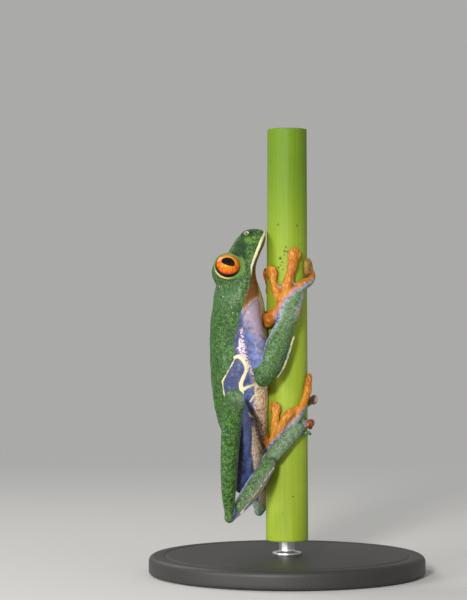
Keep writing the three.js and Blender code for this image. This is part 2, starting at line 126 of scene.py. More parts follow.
TOES = [
    ([(-38, 34.2, 1.8), (-52, 36.2, 1.4), (-66, 38.4, 0.8)], (1.1, 0.9, 1.0, 1.0), (1.15, 1.3, 0.75)),
    ([(-33, 36.0, 1.8), (-28, 39.8, 1.5), (-28, 43.2, 1.1), (-31, 45.2, 0.6)],
     (1.2, 1.1, 1.3, 1.05, 1.15), (1.75, 1.95, 0.85)),
    ([(-20, 37.6, 1.9), (-9, 41.8, 2.2), (5, 44.3, 1.9), (21, 45.0, 1.2), (36, 45.4, 0.6)],
     (1.2, 1.05, 1.2, 1.0, 1.0), (1.5, 1.6, 0.75)),
    ([(5, 39.4, 1.8), (20, 42.9, 1.9), (33, 46.2, 1.8), (48, 49.7, 1.5), (65, 53.1, 0.7)],
     (1.25, 1.05, 1.2, 1.0, 1.15, 1.0), (1.35, 1.8, 0.8)),
    ([(24, 40.4, 1.5), (46, 41.2, 1.7), (68, 41.4, 1.3), (88, 40.8, 0.6)], (1.1, 0.95, 1.05, 0.9), (1.4, 1.6, 0.75)),
]
# The left foot's two outer toes lie a little otherwise.
LEFT_TOES = {
    3: [(5, 39.4, 1.8), (13, 43.6, 1.9), (22, 48.0, 1.8), (40, 51.8, 1.6), (70, 52.9, 1.9)],
    4: [(16, 40.2, 1.5), (22, 41.0, 1.7), (28, 41.3, 1.3), (33, 41.0, 0.6)],
}
# Small knobs along the outer edge of the sole: degrees, height, half width
FOOT_BEADS = [(30, 38.9, 0.62), (38, 38.6, 0.5), (46, 38.7, 0.56), (54, 38.4, 0.46), (62, 38.7, 0.5), (71, 38.3, 0.4)]
# Webs: first digit, next digit, how far each is webbed
HAND_WEBS = [(0, 1, 0.36, 0.36), (1, 2, 0.68, 0.58), (2, 3, 0.64, 0.5)]
FOOT_WEBS = [(0, 1, 0.5, 0.3), (1, 2, 0.55, 0.44), (2, 3, 0.66, 0.56), (3, 4, 0.5, 0.6)]

# The lip on one side of the head: x, y outwards, z. It is settled on the head's surface later, as the canthus is.
LIP = [
    (-6.3, 0, 93.6), (-6.25, 1.5, 93.45), (-6.3, 2.9, 92.9), (-6.9, 4.4, 91.9), (-7.5, 5.8, 90.4), (-8.02, 7.0, 88.5),
    (-8.3, 7.6, 87.1), (-8.56, 8.4, 85.2), (-8.8, 9.1, 83.6), (-9.2, 9.5, 82.2), (-9.8, 10.0, 80.1),
    (-10.7, 10.4, 77.2), (-11.6, 10.6, 74.4),
]
CANTHUS = [(-11.9, 2.9, 92.9), (-13.4, 4.2, 90.8), (-14.6, 5.3, 88.8), (-15.2, 6.0, 87.4)]
# Places on the flank that only need x and z
EAR_FOLD = [(-17.9, 79.6), (-17.8, 78.2), (-17.3, 76.2), (-16.6, 75.2), (-15.5, 74.3), (-14.9, 72.7), (-14.7, 71.2)]
NOSTRIL = (-11.15, 93.15)
EARDRUM = (-15.7, 78.0)
GROIN_FOLD = [(-11.2, 47.6), (-9.0, 44.2), (-7.7, 39.6), (-6.6, 34.6)]

# Half width of the lip along its line, and of the cream on it
LIP_SHARES = np.linspace(0, 1, 60)
LIP_WIDTH = np.interp(LIP_SHARES, [0, 0.1, 0.5, 0.75, 0.88, 1], [0.48, 0.56, 0.58, 0.46, 0.32, 0.12])
LIP_CREAM = LIP_WIDTH + np.interp(LIP_SHARES, [0.66, 0.8], [0.08, -0.24])
SLIT_LENGTH = 44  # how many of the lip's points the gap of the mouth takes


# ---- curves and fields ----


def through(rows, count):
    """Even samples of a smooth curve through rows of numbers."""
    rows = np.asarray(rows, float)
    at = np.linspace(0, len(rows) - 1, count)
    i = np.minimum(at.astype(int), len(rows) - 2)
    t = (at - i)[:, None]
    padded = np.vstack([2 * rows[0] - rows[1], rows, 2 * rows[-1] - rows[-2]])
    a, b, c, d = (padded[i + k] for k in range(4))
    return 0.5 * (2 * b + (c - a) * t + (2 * a - 5 * b + 4 * c - d) * t**2 + (3 * b - a - 3 * c + d) * t**3)


def evenly(values, count):
    return through(np.array(values)[:, None], count)[:, 0]


def norms(v):
    return np.linalg.norm(v, axis=-1)


def unit(v):
    v = np.asarray(v, float)
    return v / norms(v)[..., None]


def mirror(v, side):
    """A place or direction with y outwards, as it lies on one side."""
    return np.array(v, float) * (1, side, 1)


def melt(a, b, k):
    """The nearer of two fields, with a fillet of about k between them."""
    h = np.clip(0.5 + 0.5 * (b - a) / k, 0, 1)
    return b + (a - b) * h - k * h * (1 - h)


def carve(a, b, k):
    """Field a with the inside of field b taken away, its edge rounded over about k."""
    return -melt(-a, b, k)


def step(low, high, x):
    t = np.clip((x - low) / (high - low), 0, 1)
    return t * t * (3 - 2 * t)


def stem_radius(z):
    share = (z - STEM_BOTTOM) / (STEM_TOP - STEM_BOTTOM)
    return STEM_RADIUS_LOW + (STEM_RADIUS_HIGH - STEM_RADIUS_LOW) * share


def off_stem(p):
    return np.hypot(p[:, 0], p[:, 1]) - stem_radius(p[:, 2])


TORSO = through(TORSO_SECTIONS, 361)
TORSO_AT = np.arange(len(TORSO), dtype=float)


def torso_row(at, *columns):
    return [np.interp(at, TORSO_AT, TORSO[:, k]) for k in columns]


def torso_section(x, z):
    """Which section of the torso a point of the profile lies on."""
    low, high = np.zeros(len(x)), np.full(len(x), TORSO_AT[-1])
    for _ in range(18):
        middle = 0.5 * (low + high)
        bx, bz, vx, vz = torso_row(middle, 0, 1, 2, 3)
        before = (bx - vx) * (z - vz) - (bz - vz) * (x - vx) > 0
        high = np.where(before, high, middle)
        low = np.where(before, middle, low)
    return 0.5 * (low + high)


# The section all over the body's profile, found once
MAP_STEP = 0.1
MAP_X, MAP_Z = np.arange(-32, 12, MAP_STEP), np.arange(14, 106, MAP_STEP)
SECTION_MAP = torso_section(*[m.ravel() for m in np.meshgrid(MAP_X, MAP_Z, indexing="ij")])
SECTION_MAP = SECTION_MAP.reshape(len(MAP_X), len(MAP_Z))


def torso_place(p):
    """Section, share of the way from belly to back, and depth of the section at each point."""
    x, z = p[:, 0], p[:, 2]
    i = np.clip((x - MAP_X[0]) / MAP_STEP, 0, len(MAP_X) - 1.001)
    j = np.clip((z - MAP_Z[0]) / MAP_STEP, 0, len(MAP_Z) - 1.001)
    ci, cj = i.astype(int), j.astype(int)
    u, v = i - ci, j - cj
    near_j, far_j = (SECTION_MAP[ci, cj + k] * (1 - u) + SECTION_MAP[ci + 1, cj + k] * u for k in (0, 1))
    at = near_j * (1 - v) + far_j * v
    bx, bz, vx, vz = torso_row(at, 0, 1, 2, 3)
    dx, dz = bx - vx, bz - vz
    depth = np.hypot(dx, dz)
    return at, ((x - vx) * dx + (z - vz) * dz) / depth**2, depth


def past_end(p, row, outward):
    """Distance beyond the plane of one end section."""
    bx, bz, vx, vz = TORSO[row, :4]
    n = np.array([bz - vz, vx - bx]) * outward
    n = n / np.hypot(*n)
    return (p[:, 0] - vx) * n[0] + (p[:, 2] - vz) * n[1]


def torso(p):
    rounding = 1.1
    at, share, depth = torso_place(p)
    level, half, square = torso_row(at, 4, 5, 6)
    rise = (share - level) * depth
    reach = np.where(rise > 0, depth * (1 - level), depth * level)
    y = np.abs(p[:, 1])
    size = ((y / half) ** square + (np.abs(rise) / reach) ** square) ** (1 / square) + 1e-6
    out = np.sqrt(y * y + rise * rise)
    d = out - (out + 1e-6) / size + rounding
    end = np.maximum(past_end(p, 0, 1), past_end(p, -1, -1)) + rounding
    return np.minimum(np.maximum(d, end), 0) + np.hypot(np.maximum(d, 0), np.maximum(end, 0)) - rounding


def near(p, low, high, margin):
    return np.flatnonzero(np.all((p > np.asarray(low) - margin) & (p < np.asarray(high) + margin), axis=1))


def within(p, low, high, field, margin=MARGIN):
    """A field worked out only near its own box."""
    d = np.full(len(p), FAR)
    i = near(p, low, high, margin)
    if len(i):
        d[i] = field(p[i])
    return d


def ball(p, centre, radius):
    centre = np.asarray(centre)
    return within(p, centre - radius, centre + radius, lambda q: norms(q - centre) - radius)


def pebble(p, centre, axes, sizes):
    """An ellipsoid with these axes, as rows, and half sizes."""
    sizes = np.asarray(sizes, float)

    def field(points):
        q = (points - centre) @ np.asarray(axes).T
        scaled = norms(q / sizes)
        steep = norms(q / sizes**2) + TINY
        return np.maximum(scaled * (scaled - 1) / steep, -sizes.min())

    return within(p, centre - sizes.max(), centre + sizes.max(), field)


def chain(p, path, radii, thin=None, flat=1.0, track=False):
    """A tapered tube along a path, thinner along `thin`. With track, also the share along it and the offset from it."""
    path, radii = np.asarray(path, float), np.asarray(radii, float)
    i = near(p, (path - radii[:, None]).min(0), (path + radii[:, None]).max(0), MARGIN)
    q = p[i]
    best, along, offset = np.full(len(i), FAR), np.zeros(len(i)), np.zeros((len(i), 3))
    for k, ab in enumerate(np.diff(path, axis=0)):
        t = np.clip((q - path[k]) @ ab / (ab @ ab), 0, 1)
        o = q - path[k] - t[:, None] * ab
        r = radii[k] + (radii[k + 1] - radii[k]) * t
        reach = norms(o) + TINY
        here = reach - r
        if thin is not None:
            squeezed = norms(o + np.outer(o @ thin[k], thin[k]) * (1 / flat - 1)) + TINY
            here = (squeezed - r) * reach / squeezed
        closer = here < best
        best = np.where(closer, here, best)
        if track:
            along = np.where(closer, (k + t) / (len(path) - 1), along)
            offset = np.where(closer[:, None], o, offset)

    def spread(values, rest):
        whole = np.full((len(p), *values.shape[1:]), rest)
        whole[i] = values
        return whole

    d = spread(best, FAR)
    return (d, spread(along, 0.0), spread(offset, 0.0)) if track else d


def bead_row(p, path, radius):
    return chain(p, path, np.broadcast_to(radius, len(path)))


def sheet_of_beads(p, beads, radius=0.3):
    def field(q):
        best = np.full(len(q), FAR)
        for bead in beads:
            best = np.minimum(best, np.sum((q - bead) ** 2, axis=1))
        return np.sqrt(best) - radius

    return within(p, beads.min(0), beads.max(0), field, 1.2)


def swell(p, centre, sizes, amount):
    """A soft bulge, or a hollow where amount is negative, to take from a field."""
    return amount * np.exp(-np.sum(((p - np.asarray(centre, float)) / np.asarray(sizes, float)) ** 2, axis=1))


def undulate(p, wavelength, seed):
    """Gentle unevenness between about -1 and 1."""
    rng = np.random.default_rng(seed)
    total = np.zeros(len(p))
    for _ in range(7):
        direction = unit(rng.normal(size=3)) * (2 * math.pi / (wavelength * rng.uniform(0.7, 1.5)))
        total += np.sin(p @ direction + rng.uniform(0, 2 * math.pi))
    return total / 3.2


def pebbling(p, size, seed):
    """0 between granules to 1 on top of each, for granules about `size` apart, one in each cell by a hash."""
    q = p / size
    cell = np.floor(q).astype(np.int64)
    first, second = np.full(len(p), 9.0), np.full(len(p), 9.0)
    for offset in np.ndindex(3, 3, 3):
        c = cell + (np.array(offset) - 1)
        mix = (c[:, 0] * 73856093) ^ (c[:, 1] * 19349663) ^ (c[:, 2] * 83492791) ^ (seed * 2654435761)
        spots = []
        for k in range(3):
            mix = (mix * 1103515245 + 12345 + k) & 0x7FFFFFFF
            spots.append((mix >> 8) % 1000 / 1000.0)
        d = norms(q - c - np.stack(spots, 1))
        second = np.minimum(second, np.maximum(first, d))
        first = np.minimum(first, d)
    return step(0.0, 0.45, second - first)


def slope_of(p, field, reach=0.02):
    return np.stack([(field(p + e) - field(p - e)) / (2 * reach) for e in np.eye(3) * reach], axis=1)


def settle(path, field):
    """Moves points onto a field's surface."""
    for _ in range(14):
        slope = slope_of(path, field)
        share = field(path) / np.maximum(np.sum(slope * slope, axis=1), 0.6)
        path = path - slope * np.clip(share, -0.3, 0.3)[:, None]
    return path


def settle_side(rows, side):
    """The points of the torso's flank that have these x and z."""
    x, z = np.array(rows, float).T
    low, high = np.zeros(len(x)), np.full(len(x), 14.0)
    for _ in range(24):
        middle = 0.5 * (low + high)
        inside = torso(np.stack([x, side * middle, z], 1)) < 0
        low, high = np.where(inside, middle, low), np.where(inside, high, middle)
    return np.stack([x, side * low, z], 1)


# ---- the parts of one side ----


def on_stem(spot, hold):
    """A place on the stem, for a hand or foot that holds it on one side, turned and lifted."""
    side, turn, lift = hold
    angle = math.radians(spot[0] + turn)
    z = spot[1] + lift
    reach = stem_radius(z) + spot[2]
    return np.array([reach * math.sin(angle), side * reach * math.cos(angle), z])


def limb(name, joints, count=13):
    """Path, radii and thin directions of a limb between two joints."""
    first, last, widths, flat, bow, thin = LIMBS[name]
    start, end, bow, thin = (mirror(v, joints["side"]) for v in (joints[first], joints[last], bow, thin))
    t = np.linspace(0, 1, count)[:, None]
    path = start * (1 - t) ** 2 + ((start + end) / 2 + 2 * bow) * 2 * t * (1 - t) + end * t**2
    along = unit(np.gradient(path, axis=0))
    thin = unit(thin - np.sum(along * thin, axis=1, keepdims=True) * along)
    return dict(path=path, radii=evenly(widths, count), thin=thin, flat=flat)


def palm_plate(start, end, widths, flat, count=7):
    path = through([start, (start + end) / 2, end], count)
    return dict(path=path, radii=evenly(widths, count), thin=unit(path * (1, 1, 0)), flat=flat)


def digit(shape, hold, count=15):
    """Bone and pad of a finger or toe, with slight swellings at its joints."""
    spots, widths, pad_sizes = shape
    path = through([on_stem(s, hold) for s in spots], count)
    radii = evenly(widths, count) * (1 + 0.07 * np.cos(np.linspace(0.6, 15.5, count)))
    off = unit(path * (1, 1, 0))
    out = off[-1]
    along = unit(path[-1] - path[-3])
    along = unit(along - (along @ out) * out)
    tilt = unit(along + 0.12 * out)
    up = unit(out - (out @ tilt) * tilt)
    pad = (path[-1] + along * 0.15, np.stack([np.cross(tilt, up), tilt, up]), pad_sizes)
    return dict(path=path, radii=radii, thin=off, flat=0.88, pad=pad)


def web(shapes, spec, hold):
    """Beads over the skin between two digits, hollowed along its free edge."""
    a, b, reach_a, reach_b = spec
    rows_a, rows_b = (through(shapes[k][0], 101) for k in (a, b))
    beads = []
    for u, v in itertools.product(np.linspace(0, 1, 15), np.linspace(0, 1, 17)):
        deep = v * (1 - 0.42 * math.sin(math.pi * u))
        spot = rows_a[int(round(100 * deep * reach_a))] * (1 - u) + rows_b[int(round(100 * deep * reach_b))] * u
        beads.append(on_stem(spot - (0, 0, 0.1), hold))
    return np.array(beads)


def box_of(*shapes):
    """The box round some limbs and digits."""
    rows = []
    for shape in shapes:
        wide = shape["radii"][:, None] + 0.7
        rows += [shape["path"] - wide, shape["path"] + wide]
        if "pad" in shape:
            centre, _, sizes = shape["pad"]
            rows += [[centre - max(sizes)], [centre + max(sizes)]]
    rows = np.vstack(rows)
    return rows.min(0), rows.max(0)


def fringe_path(part, which):
    """Where the narrow fold along the outer edge of the forearm or tarsus runs, and the limb inside it."""
    middle, radii = part[which]["path"], part[which]["radii"]
    t = np.linspace(0, 1, len(middle))
    down = unit(np.cross(unit(np.gradient(middle, axis=0)), (0, 1, 0)) * (1, 0, 1))
    down = down * np.sign(down[:, :1])
    inward = np.array([0, -part["side"], 0])
    if which == "forearm":
        path = middle + down * (radii[:, None] + 0.55) + inward * 0.9
        radius = 0.43 * np.sin(np.pi * np.clip(t / 0.82, 0.06, 0.94)) ** 0.5
        keep = (t > 0) & (t < 0.8)
    else:
        path = middle + down * (radii[:, None] * 0.92) + inward * -0.55
        radius = np.full(len(t), 0.26)
        keep = t < 0.92
    return path[keep], radius[keep], middle[keep]


def heel_fold_path(part):
    """The slack skin in the crook between shank and tarsus."""
    shank, tarsus = part["shank"]["path"][-2:-6:-1], part["tarsus"]["path"][1:5]
    rows = [0.5 * (a + b) for a, b in zip(shank, tarsus) if np.linalg.norm(a - b) < 5.2]
    radii = np.linspace(0.9, 1.05, len(rows))
    radii[-1] *= 0.3
    return rows, radii


def ankle_fold_path(part):
    """The fold line pressed into the skin across the ankle."""
    path = part["tarsus"]["path"]
    along = unit(path[-1] - path[-3])
    out = np.array([0, part["side"], 0.0])
    across = unit(np.cross(along, out))
    ring = []
    for a in np.linspace(-0.9, 1.7, 16):
        ahead = 0.5 + 0.25 * math.sin(3 * a)
        ring.append(path[-1] + along * ahead + (across * math.sin(a) + out * math.cos(a) * 0.8) * 2.15)
    return np.array(ring)


def build_side(name):
    """Everything that one side of the frog is made of."""
    m = SIDES[name]
    side = m["side"]
    hand, foot = ((side, m[k + "_turn"], m[k + "_lift"]) for k in ("hand", "foot"))
    wrist, ankle = mirror(m["wrist"], side), mirror(m["ankle"], side)
    toes = TOES if side < 0 else [(LEFT_TOES.get(k, path), *rest) for k, (path, *rest) in enumerate(TOES)]
    nostril, eardrum = settle_side([NOSTRIL, EARDRUM], side)
    slit_shift = mirror((0.62, -0.05, -0.2), side)
    part = dict(
        {key: limb(key, m) for key in LIMBS},
        name=name, side=side, knee=m["knee"], lower=m["foot_lift"], heel=mirror(m["heel"], side),
        eye=mirror(EYE_CENTRE, side), gaze=unit(mirror(GAZE, side)), lid_axis=unit(mirror(LID_AXIS, side)),
        palm=palm_plate(wrist, on_stem((10, 76.0, 1.7), hand), (2.45, 2.5, 2.4), 0.66),
        palm_edge=palm_plate(wrist + (0.6, 0, 0.4), on_stem((30, 78.0, 1.7), hand), (2.1, 1.75, 1.2), 0.75),
        palm_heel=palm_plate(wrist + (-1.2, 0, 0.6), on_stem((-4, 75.6, 1.9), hand), (1.9, 2.0, 1.5), 0.8),
        sole=palm_plate(ankle, on_stem((20, 40.0, 1.5), foot), (1.95, 2.05, 1.9), 0.78),
        fingers=[digit(f, hand) for f in FINGERS], toes=[digit(t, foot) for t in toes],
        hand_webs=[web(FINGERS, w, hand) for w in HAND_WEBS], foot_webs=[web(toes, w, foot) for w in FOOT_WEBS],
        foot_beads=[(on_stem((a - 40 * (side > 0), h, 0.9), foot), r) for a, h, r in FOOT_BEADS],
        lip=settle(mirror(through(LIP, len(LIP_WIDTH)), side), torso),
        slit=settle(mirror(through(LIP, len(LIP_WIDTH)), side) + slit_shift, torso)[:SLIT_LENGTH],
        canthus=settle(mirror(through(CANTHUS, 14), side), torso),
        ear_fold=settle_side(through(EAR_FOLD, 20), side), groin_fold=settle_side(GROIN_FOLD, side),
        nostril=nostril, nostril_out=unit(slope_of(nostril[None], torso)[0]),
        eardrum=eardrum, eardrum_out=unit(slope_of(eardrum[None], torso)[0]),
    )
    part["hand_box"] = box_of(part["palm"], part["palm_edge"], *part["fingers"])
    part["leg_box"] = box_of(part["shank"], part["tarsus"])
    part["foot_box"] = box_of(part["sole"], *part["toes"])
    part["fringes"] = {which: fringe_path(part, which) for which in ("forearm", "tarsus")}
    part["heel_fold"] = heel_fold_path(part)
    part["ankle_fold"] = ankle_fold_path(part)
    return part


PARTS = [build_side("right"), build_side("left")]


# ---- the frog's field ----


def tube(p, shape):
    return chain(p, shape["path"], shape["radii"], shape["thin"], shape["flat"])


def eye_angles(p, part):
    """Distance from the eye's centre, and the angle from the middle of the lids' opening."""
    q = p - part["eye"]
    length = norms(q) + TINY
    return length, np.arccos(np.clip(q @ part["lid_axis"] / length, -1, 1))


def around(p, centre, out):
    """Whether each point is close to a centre, its height along a direction, and its offset across that."""
    q = p - centre
    high = q @ out
    return norms(q) < 3, high, q - np.outer(high, out)


def head_details(everywhere, shape):
    """Adds the orbits, lids, nostrils, lips, eardrums and folds to the torso's field."""
    head = np.flatnonzero(everywhere[:, 2] > 69)
    p, d = everywhere[head], shape[head]
    for part in PARTS:
        s = part["side"]
        # cheek and side of the snout
        d = d + swell(p, (-11.6, s * 6.6, 88.6), (2.0, 2.0, 2.6), 0.45)
        d = d - swell(p, (-13.6, s * 10.2, 75.6), (3.2, 2.2, 3.4), 0.35)
        d = d - swell(p, (-12.2, s * 3.2, 92.6), (1.5, 1.3, 1.6), 0.25)
        # orbit, lids and the opening between them
        d = melt(d, ball(p, part["eye"] - part["gaze"] * 2.6, EYE_RADIUS + 0.3), 2.2)
        d = melt(d, ball(p, part["eye"] - part["gaze"] * 0.7, EYE_RADIUS + 0.16), 1.2)
        length, angle = eye_angles(p, part)
        lid = np.hypot(length - (EYE_RADIUS + 0.1), (angle - LID_OPENING - 0.045) * EYE_RADIUS) - 0.3
        d = melt(d, lid, 0.45)
        opening = np.maximum((angle - LID_OPENING) * EYE_RADIUS, EYE_RADIUS - 0.6 - length)
        d = carve(d, np.where(length < EYE_RADIUS + 2.5, opening, FAR), 0.12)
        # lip, mouth, fold behind the eardrum, and edge of the snout
        d = melt(d, bead_row(p, part["lip"], 0.75 * LIP_WIDTH), 0.4)
        d = carve(d, bead_row(p, part["slit"], np.linspace(0.28, 0.08, SLIT_LENGTH)), 0.25)
        d = melt(d, bead_row(p, part["ear_fold"], np.linspace(0.5, 0.34, 20)), 0.8)
        d = melt(d, bead_row(p, part["canthus"], 0.4), 1.3)
        # nostril: a raised rim round a slit
        out = part["nostril_out"]
        close, high, across = around(p, part["nostril"], out)
        ring = np.hypot(norms(across * (0.9, 1.0, 1.0)) - 0.55, high) - 0.24
        d = melt(d, np.where(close, ring, FAR), 0.3)
        slot = unit(np.cross(out, (0.3, 0, 1))) * 0.26
        middle = part["nostril"] + out * 0.15
        d = carve(d, bead_row(p, [middle - slot, middle + slot], 0.3), 0.1)
        # eardrum: a ring with a slack skin inside
        close, high, across = around(p, part["eardrum"], part["eardrum_out"])
        flat = norms(across)
        d = melt(d, np.where(close, np.hypot(flat - 1.2, high + 0.12) - 0.22, FAR), 0.5)
        d = d + np.where(close, 0.16 * np.exp(-((flat / 0.8) ** 2)), 0)
    shape[head] = d
    return shape


def body_shape(p):
    """The torso with its muscles and folds."""
    d = torso(p)
    for s in (-1, 1):  # hip bones, hollow beside the spine, and a soft flank
        hip = [(-18.9, s * 4.8, 51.0), (-18.9, s * 4.5, 46.0), (-17.1, s * 3.3, 40.5), (-14.2, s * 1.8, 33.8)]
        d = melt(d, chain(p, hip, [0.2, 0.7, 0.6, 0.3]), 1.6)
        d = d - swell(p, (-19.6, s * 5.6, 69.0), (2.6, 3.0, 4.0), 0.35)
        d = d + swell(p, (-16.0, s * 10.0, 62.0), (3.0, 2.5, 5.0), 0.35)
    d = melt(d, chain(p, [(-19.1, 0, 48.5), (-18.1, 0, 41.5), (-14.9, 0, 34.5)], [0.2, 0.6, 0.35]), 1.2)
    for part in PARTS:  # fold between belly and thigh
        d = carve(d, bead_row(p, part["groin_fold"], 0.5), 0.5)
    d = d + swell(p, (-20.8, 0, 73.5), (2.2, 5.0, 2.4), 0.3)
    return d + 0.12 * undulate(p, 6.0, 5)


def with_digits(p, d, digits, webs):
    """A palm or sole with its digits and the webs between them."""
    for shape in digits:
        d = melt(d, digit_field(p, shape), 0.5)
    for beads in webs:
        d = melt(d, sheet_of_beads(p, beads), 0.35)
    return d


def digit_field(p, shape):
    return melt(tube(p, shape), pebble(p, *shape["pad"]), 0.5)


def hand_field(p, part):
    hand = melt(melt(tube(p, part["palm"]), tube(p, part["palm_edge"]), 0.8), tube(p, part["palm_heel"]), 0.8)
    return with_digits(p, hand, part["fingers"], part["hand_webs"])


def foot_field(p, part):
    foot = with_digits(p, tube(p, part["sole"]), part["toes"], part["foot_webs"])
    for spot, radius in part["foot_beads"]:
        foot = melt(foot, ball(p, spot, radius), 0.25)
    return foot


def fringe(p, part, which):
    """The narrow fold of pale skin along the outer edge of the forearm or tarsus."""
    path, radius, inner = part["fringes"][which]
    d = bead_row(p, path, radius)
    if which == "forearm":  # a thin shelf joins the fold to the arm
        d = melt(d, bead_row(p, inner + (path - inner) * 0.72, radius * 0.7), 0.5)
    return d


def leg_field(p, part):
    near_heel = np.exp(-norms(p - part["heel"]) / 3.5)
    leg = melt(tube(p, part["shank"]), tube(p, part["tarsus"]), 0.3 + 1.6 * near_heel)
    leg = melt(leg, chain(p, *part["heel_fold"]), 0.9)
    return melt(leg, fringe(p, part, "tarsus"), 0.3)


def near_hand(p, part):
    return within(p, *part["hand_box"], lambda q: hand_field(q, part))


def near_foot(p, part):
    return within(p, *part["foot_box"], lambda q: foot_field(q, part))


def skin_field(p):
    d = within(p, (-22.5, -14, 20), (-3.5, 14, 97), lambda q: head_details(q, body_shape(q)), 3.5)
    for part in PARTS:
        d = melt(d, tube(p, part["upper_arm"]), 1.5)
        d = melt(d, tube(p, part["thigh"]), 1.0)
    for part in PARTS:
        d = melt(d, tube(p, part["forearm"]), 0.3)
        d = melt(d, fringe(p, part, "forearm"), 0.35)
        d = melt(d, near_hand(p, part), 0.45)
        leg = within(p, *part["leg_box"], lambda q: leg_field(q, part))
        d = melt(d, melt(leg, near_foot(p, part), 0.45), 0.3)
        d = carve(d, bead_row(p, part["ankle_fold"], 0.4), 0.3)
    return np.maximum(d, -(off_stem(p) + 0.05))


# ---- from a field to a mesh ----


def lattice(*counts):
    return np.stack(np.meshgrid(*[np.arange(n) for n in counts], indexing="ij"), -1).reshape(-1, len(counts))


def draw_surface(field, low, high, pitch, block=4, batch=12000):
    """A quad mesh where the field is zero: coarse blocks first, then fine samples only near the surface."""
    low = np.asarray(low)
    shape = np.ceil((np.asarray(high) - low) / (pitch * block)).astype(int)
    centres = lattice(*shape)
    coarse = field(low + (centres + 0.5) * pitch * block)
    grid = np.sign(coarse).reshape(shape).astype(np.float32)
    for axis in range(3):
        grid = np.repeat(grid, block, axis)
    close = centres[np.abs(coarse) < 1.25 * pitch * block + 0.25]
    for start in range(0, len(close), batch):
        index = (close[start : start + batch, None] * block + lattice(block, block, block)).reshape(-1, 3)
        grid[tuple(index.T)] = field(low + (index + 0.5) * pitch)

    # one point in each cell that the surface cuts, in the middle of the cuts on the cell's edges
    inside = grid < 0
    corners = lattice(2, 2, 2)
    n = np.array(grid.shape) - 1
    count = sum(inside[i : i + n[0], j : j + n[1], k : k + n[2]].astype(np.int8) for i, j, k in corners)
    cells = np.argwhere((count > 0) & (count < 8))
    values = [grid[tuple((cells + c).T)] for c in corners]
    total, crossings = np.zeros((len(cells), 3)), np.zeros(len(cells))
    for (a, ca), (b, cb) in itertools.combinations(zip(values, corners), 2):
        if np.abs(cb - ca).sum() == 1:
            cut = (a < 0) != (b < 0)
            t = np.where(cut, a / np.where(cut, a - b, 1), 0)[:, None]
            total += np.where(cut[:, None], ca + (cb - ca) * t, 0)
            crossings += cut
    points = low + (cells + total / crossings[:, None] + 0.5) * pitch

    # one quad round each edge of the grid that the surface cuts
    number = np.full(n, -1, np.int64)
    number[tuple(cells.T)] = np.arange(len(cells))
    faces = []
    for axis in range(3):
        u, v = (axis + 1) % 3, (axis + 2) % 3
        first, second = (np.take(inside, range(k, n[axis] + k), axis) for k in (0, 1))
        for flip in (False, True):
            edge = np.argwhere((~first & second) if flip else (first & ~second))
            edge = edge[(edge[:, u] > 0) & (edge[:, v] > 0)]
            ring = []
            for du, dv in ((-1, -1), (0, -1), (0, 0), (-1, 0)):
                c = edge.copy()
                c[:, u] += du
                c[:, v] += dv
                ring.append(number[tuple(np.minimum(c, n - 1).T)])
            quad = np.stack(ring, 1)
            quad = quad[(quad >= 0).all(1)]
            faces.append(quad[:, ::-1] if flip else quad)
    return points, np.concatenate(faces)


def neighbour_mean(points, faces):
    a, b, n = faces.ravel(), np.roll(faces, -1, axis=1).ravel(), len(points)
    total = [np.bincount(a, column[b], n) + np.bincount(b, column[a], n) for column in points.T]
    count = np.bincount(a, minlength=n) + np.bincount(b, minlength=n)
    return np.stack(total, 1) / np.maximum(count, 1)[:, None]


def vertex_normals(points, faces):
    diagonal = np.cross(points[faces[:, 2]] - points[faces[:, 0]], points[faces[:, 3]] - points[faces[:, 1]])
    total = [np.bincount(faces.ravel(), np.repeat(column, 4), len(points)) for column in diagonal.T]
    return unit(np.stack(total, 1) + 1e-12)


def largest_shell(points, faces):
    """Keeps the one connected shell with the most faces."""
    label = np.arange(len(points))
    while True:
        low = label.copy()
        face_low = label[faces].min(axis=1)
        for k in range(4):
            np.minimum.at(low, faces[:, k], face_low)
        low = low[low]
        if (low == label).all():
            break
        label = low
    names, counts = np.unique(label[faces[:, 0]], return_counts=True)
    faces = faces[label[faces[:, 0]] == names[np.argmax(counts)]]
    used = np.unique(faces)
    renumber = np.full(len(points), -1)
    renumber[used] = np.arange(len(used))
    return points[used], renumber[faces]


def link(name, data):
    """Puts data into the scene as an object."""
    thing = bpy.data.objects.new(name, data)
    bpy.context.scene.collection.objects.link(thing)
    return thing


def make_object(name, points, faces, attributes=None):
    """A smooth mesh object from points in millimetres and a list of faces."""
    mesh = bpy.data.meshes.new(name)
    mesh.from_pydata((np.asarray(points) * MM).tolist(), [], faces)
    mesh.polygons.foreach_set("use_smooth", [True] * len(mesh.polygons))
    for key, values in (attributes or {}).items():
        mesh.attributes.new(key, "FLOAT", "POINT").data.foreach_set("value", np.asarray(values, np.float32))
    mesh.validate()
    return link(name, mesh)


def shell_faces(rows, segments):
    """Faces of a closed shell of rings: quads between them, then fans round the points at both ends."""
    i, j = lattice(rows - 1, segments).T
    k = (j + 1) % segments
    quads = np.stack([i * segments + j, i * segments + k, (i + 1) * segments + k, (i + 1) * segments + j], 1)
    last, end = (rows - 1) * segments, rows * segments
    fans = [(end, (a + 1) % segments, a) for a in range(segments)]
    return quads.tolist() + fans + [(end + 1, last + a, last + (a + 1) % segments) for a in range(segments)]


def turned(profile, segments, ripple=None):
    """Points and faces of a turned shape from (radius, height) pairs that start and end on the axis."""
    profile = np.asarray(profile, float)
    turn = np.linspace(0, 2 * math.pi, segments, endpoint=False)
    r, z = (np.repeat(profile[1:-1, k, None], segments, 1) for k in (0, 1))
    if ripple is not None:
        r = r + ripple(turn, z, r)
    points = np.stack([r * np.cos(turn), r * np.sin(turn), z], -1).reshape(-1, 3)
    points = np.vstack([points, [[0, 0, profile[0, 1]], [0, 0, profile[-1, 1]]]])
    return points, shell_faces(len(profile) - 2, segments)


# ---- where the markings go ----

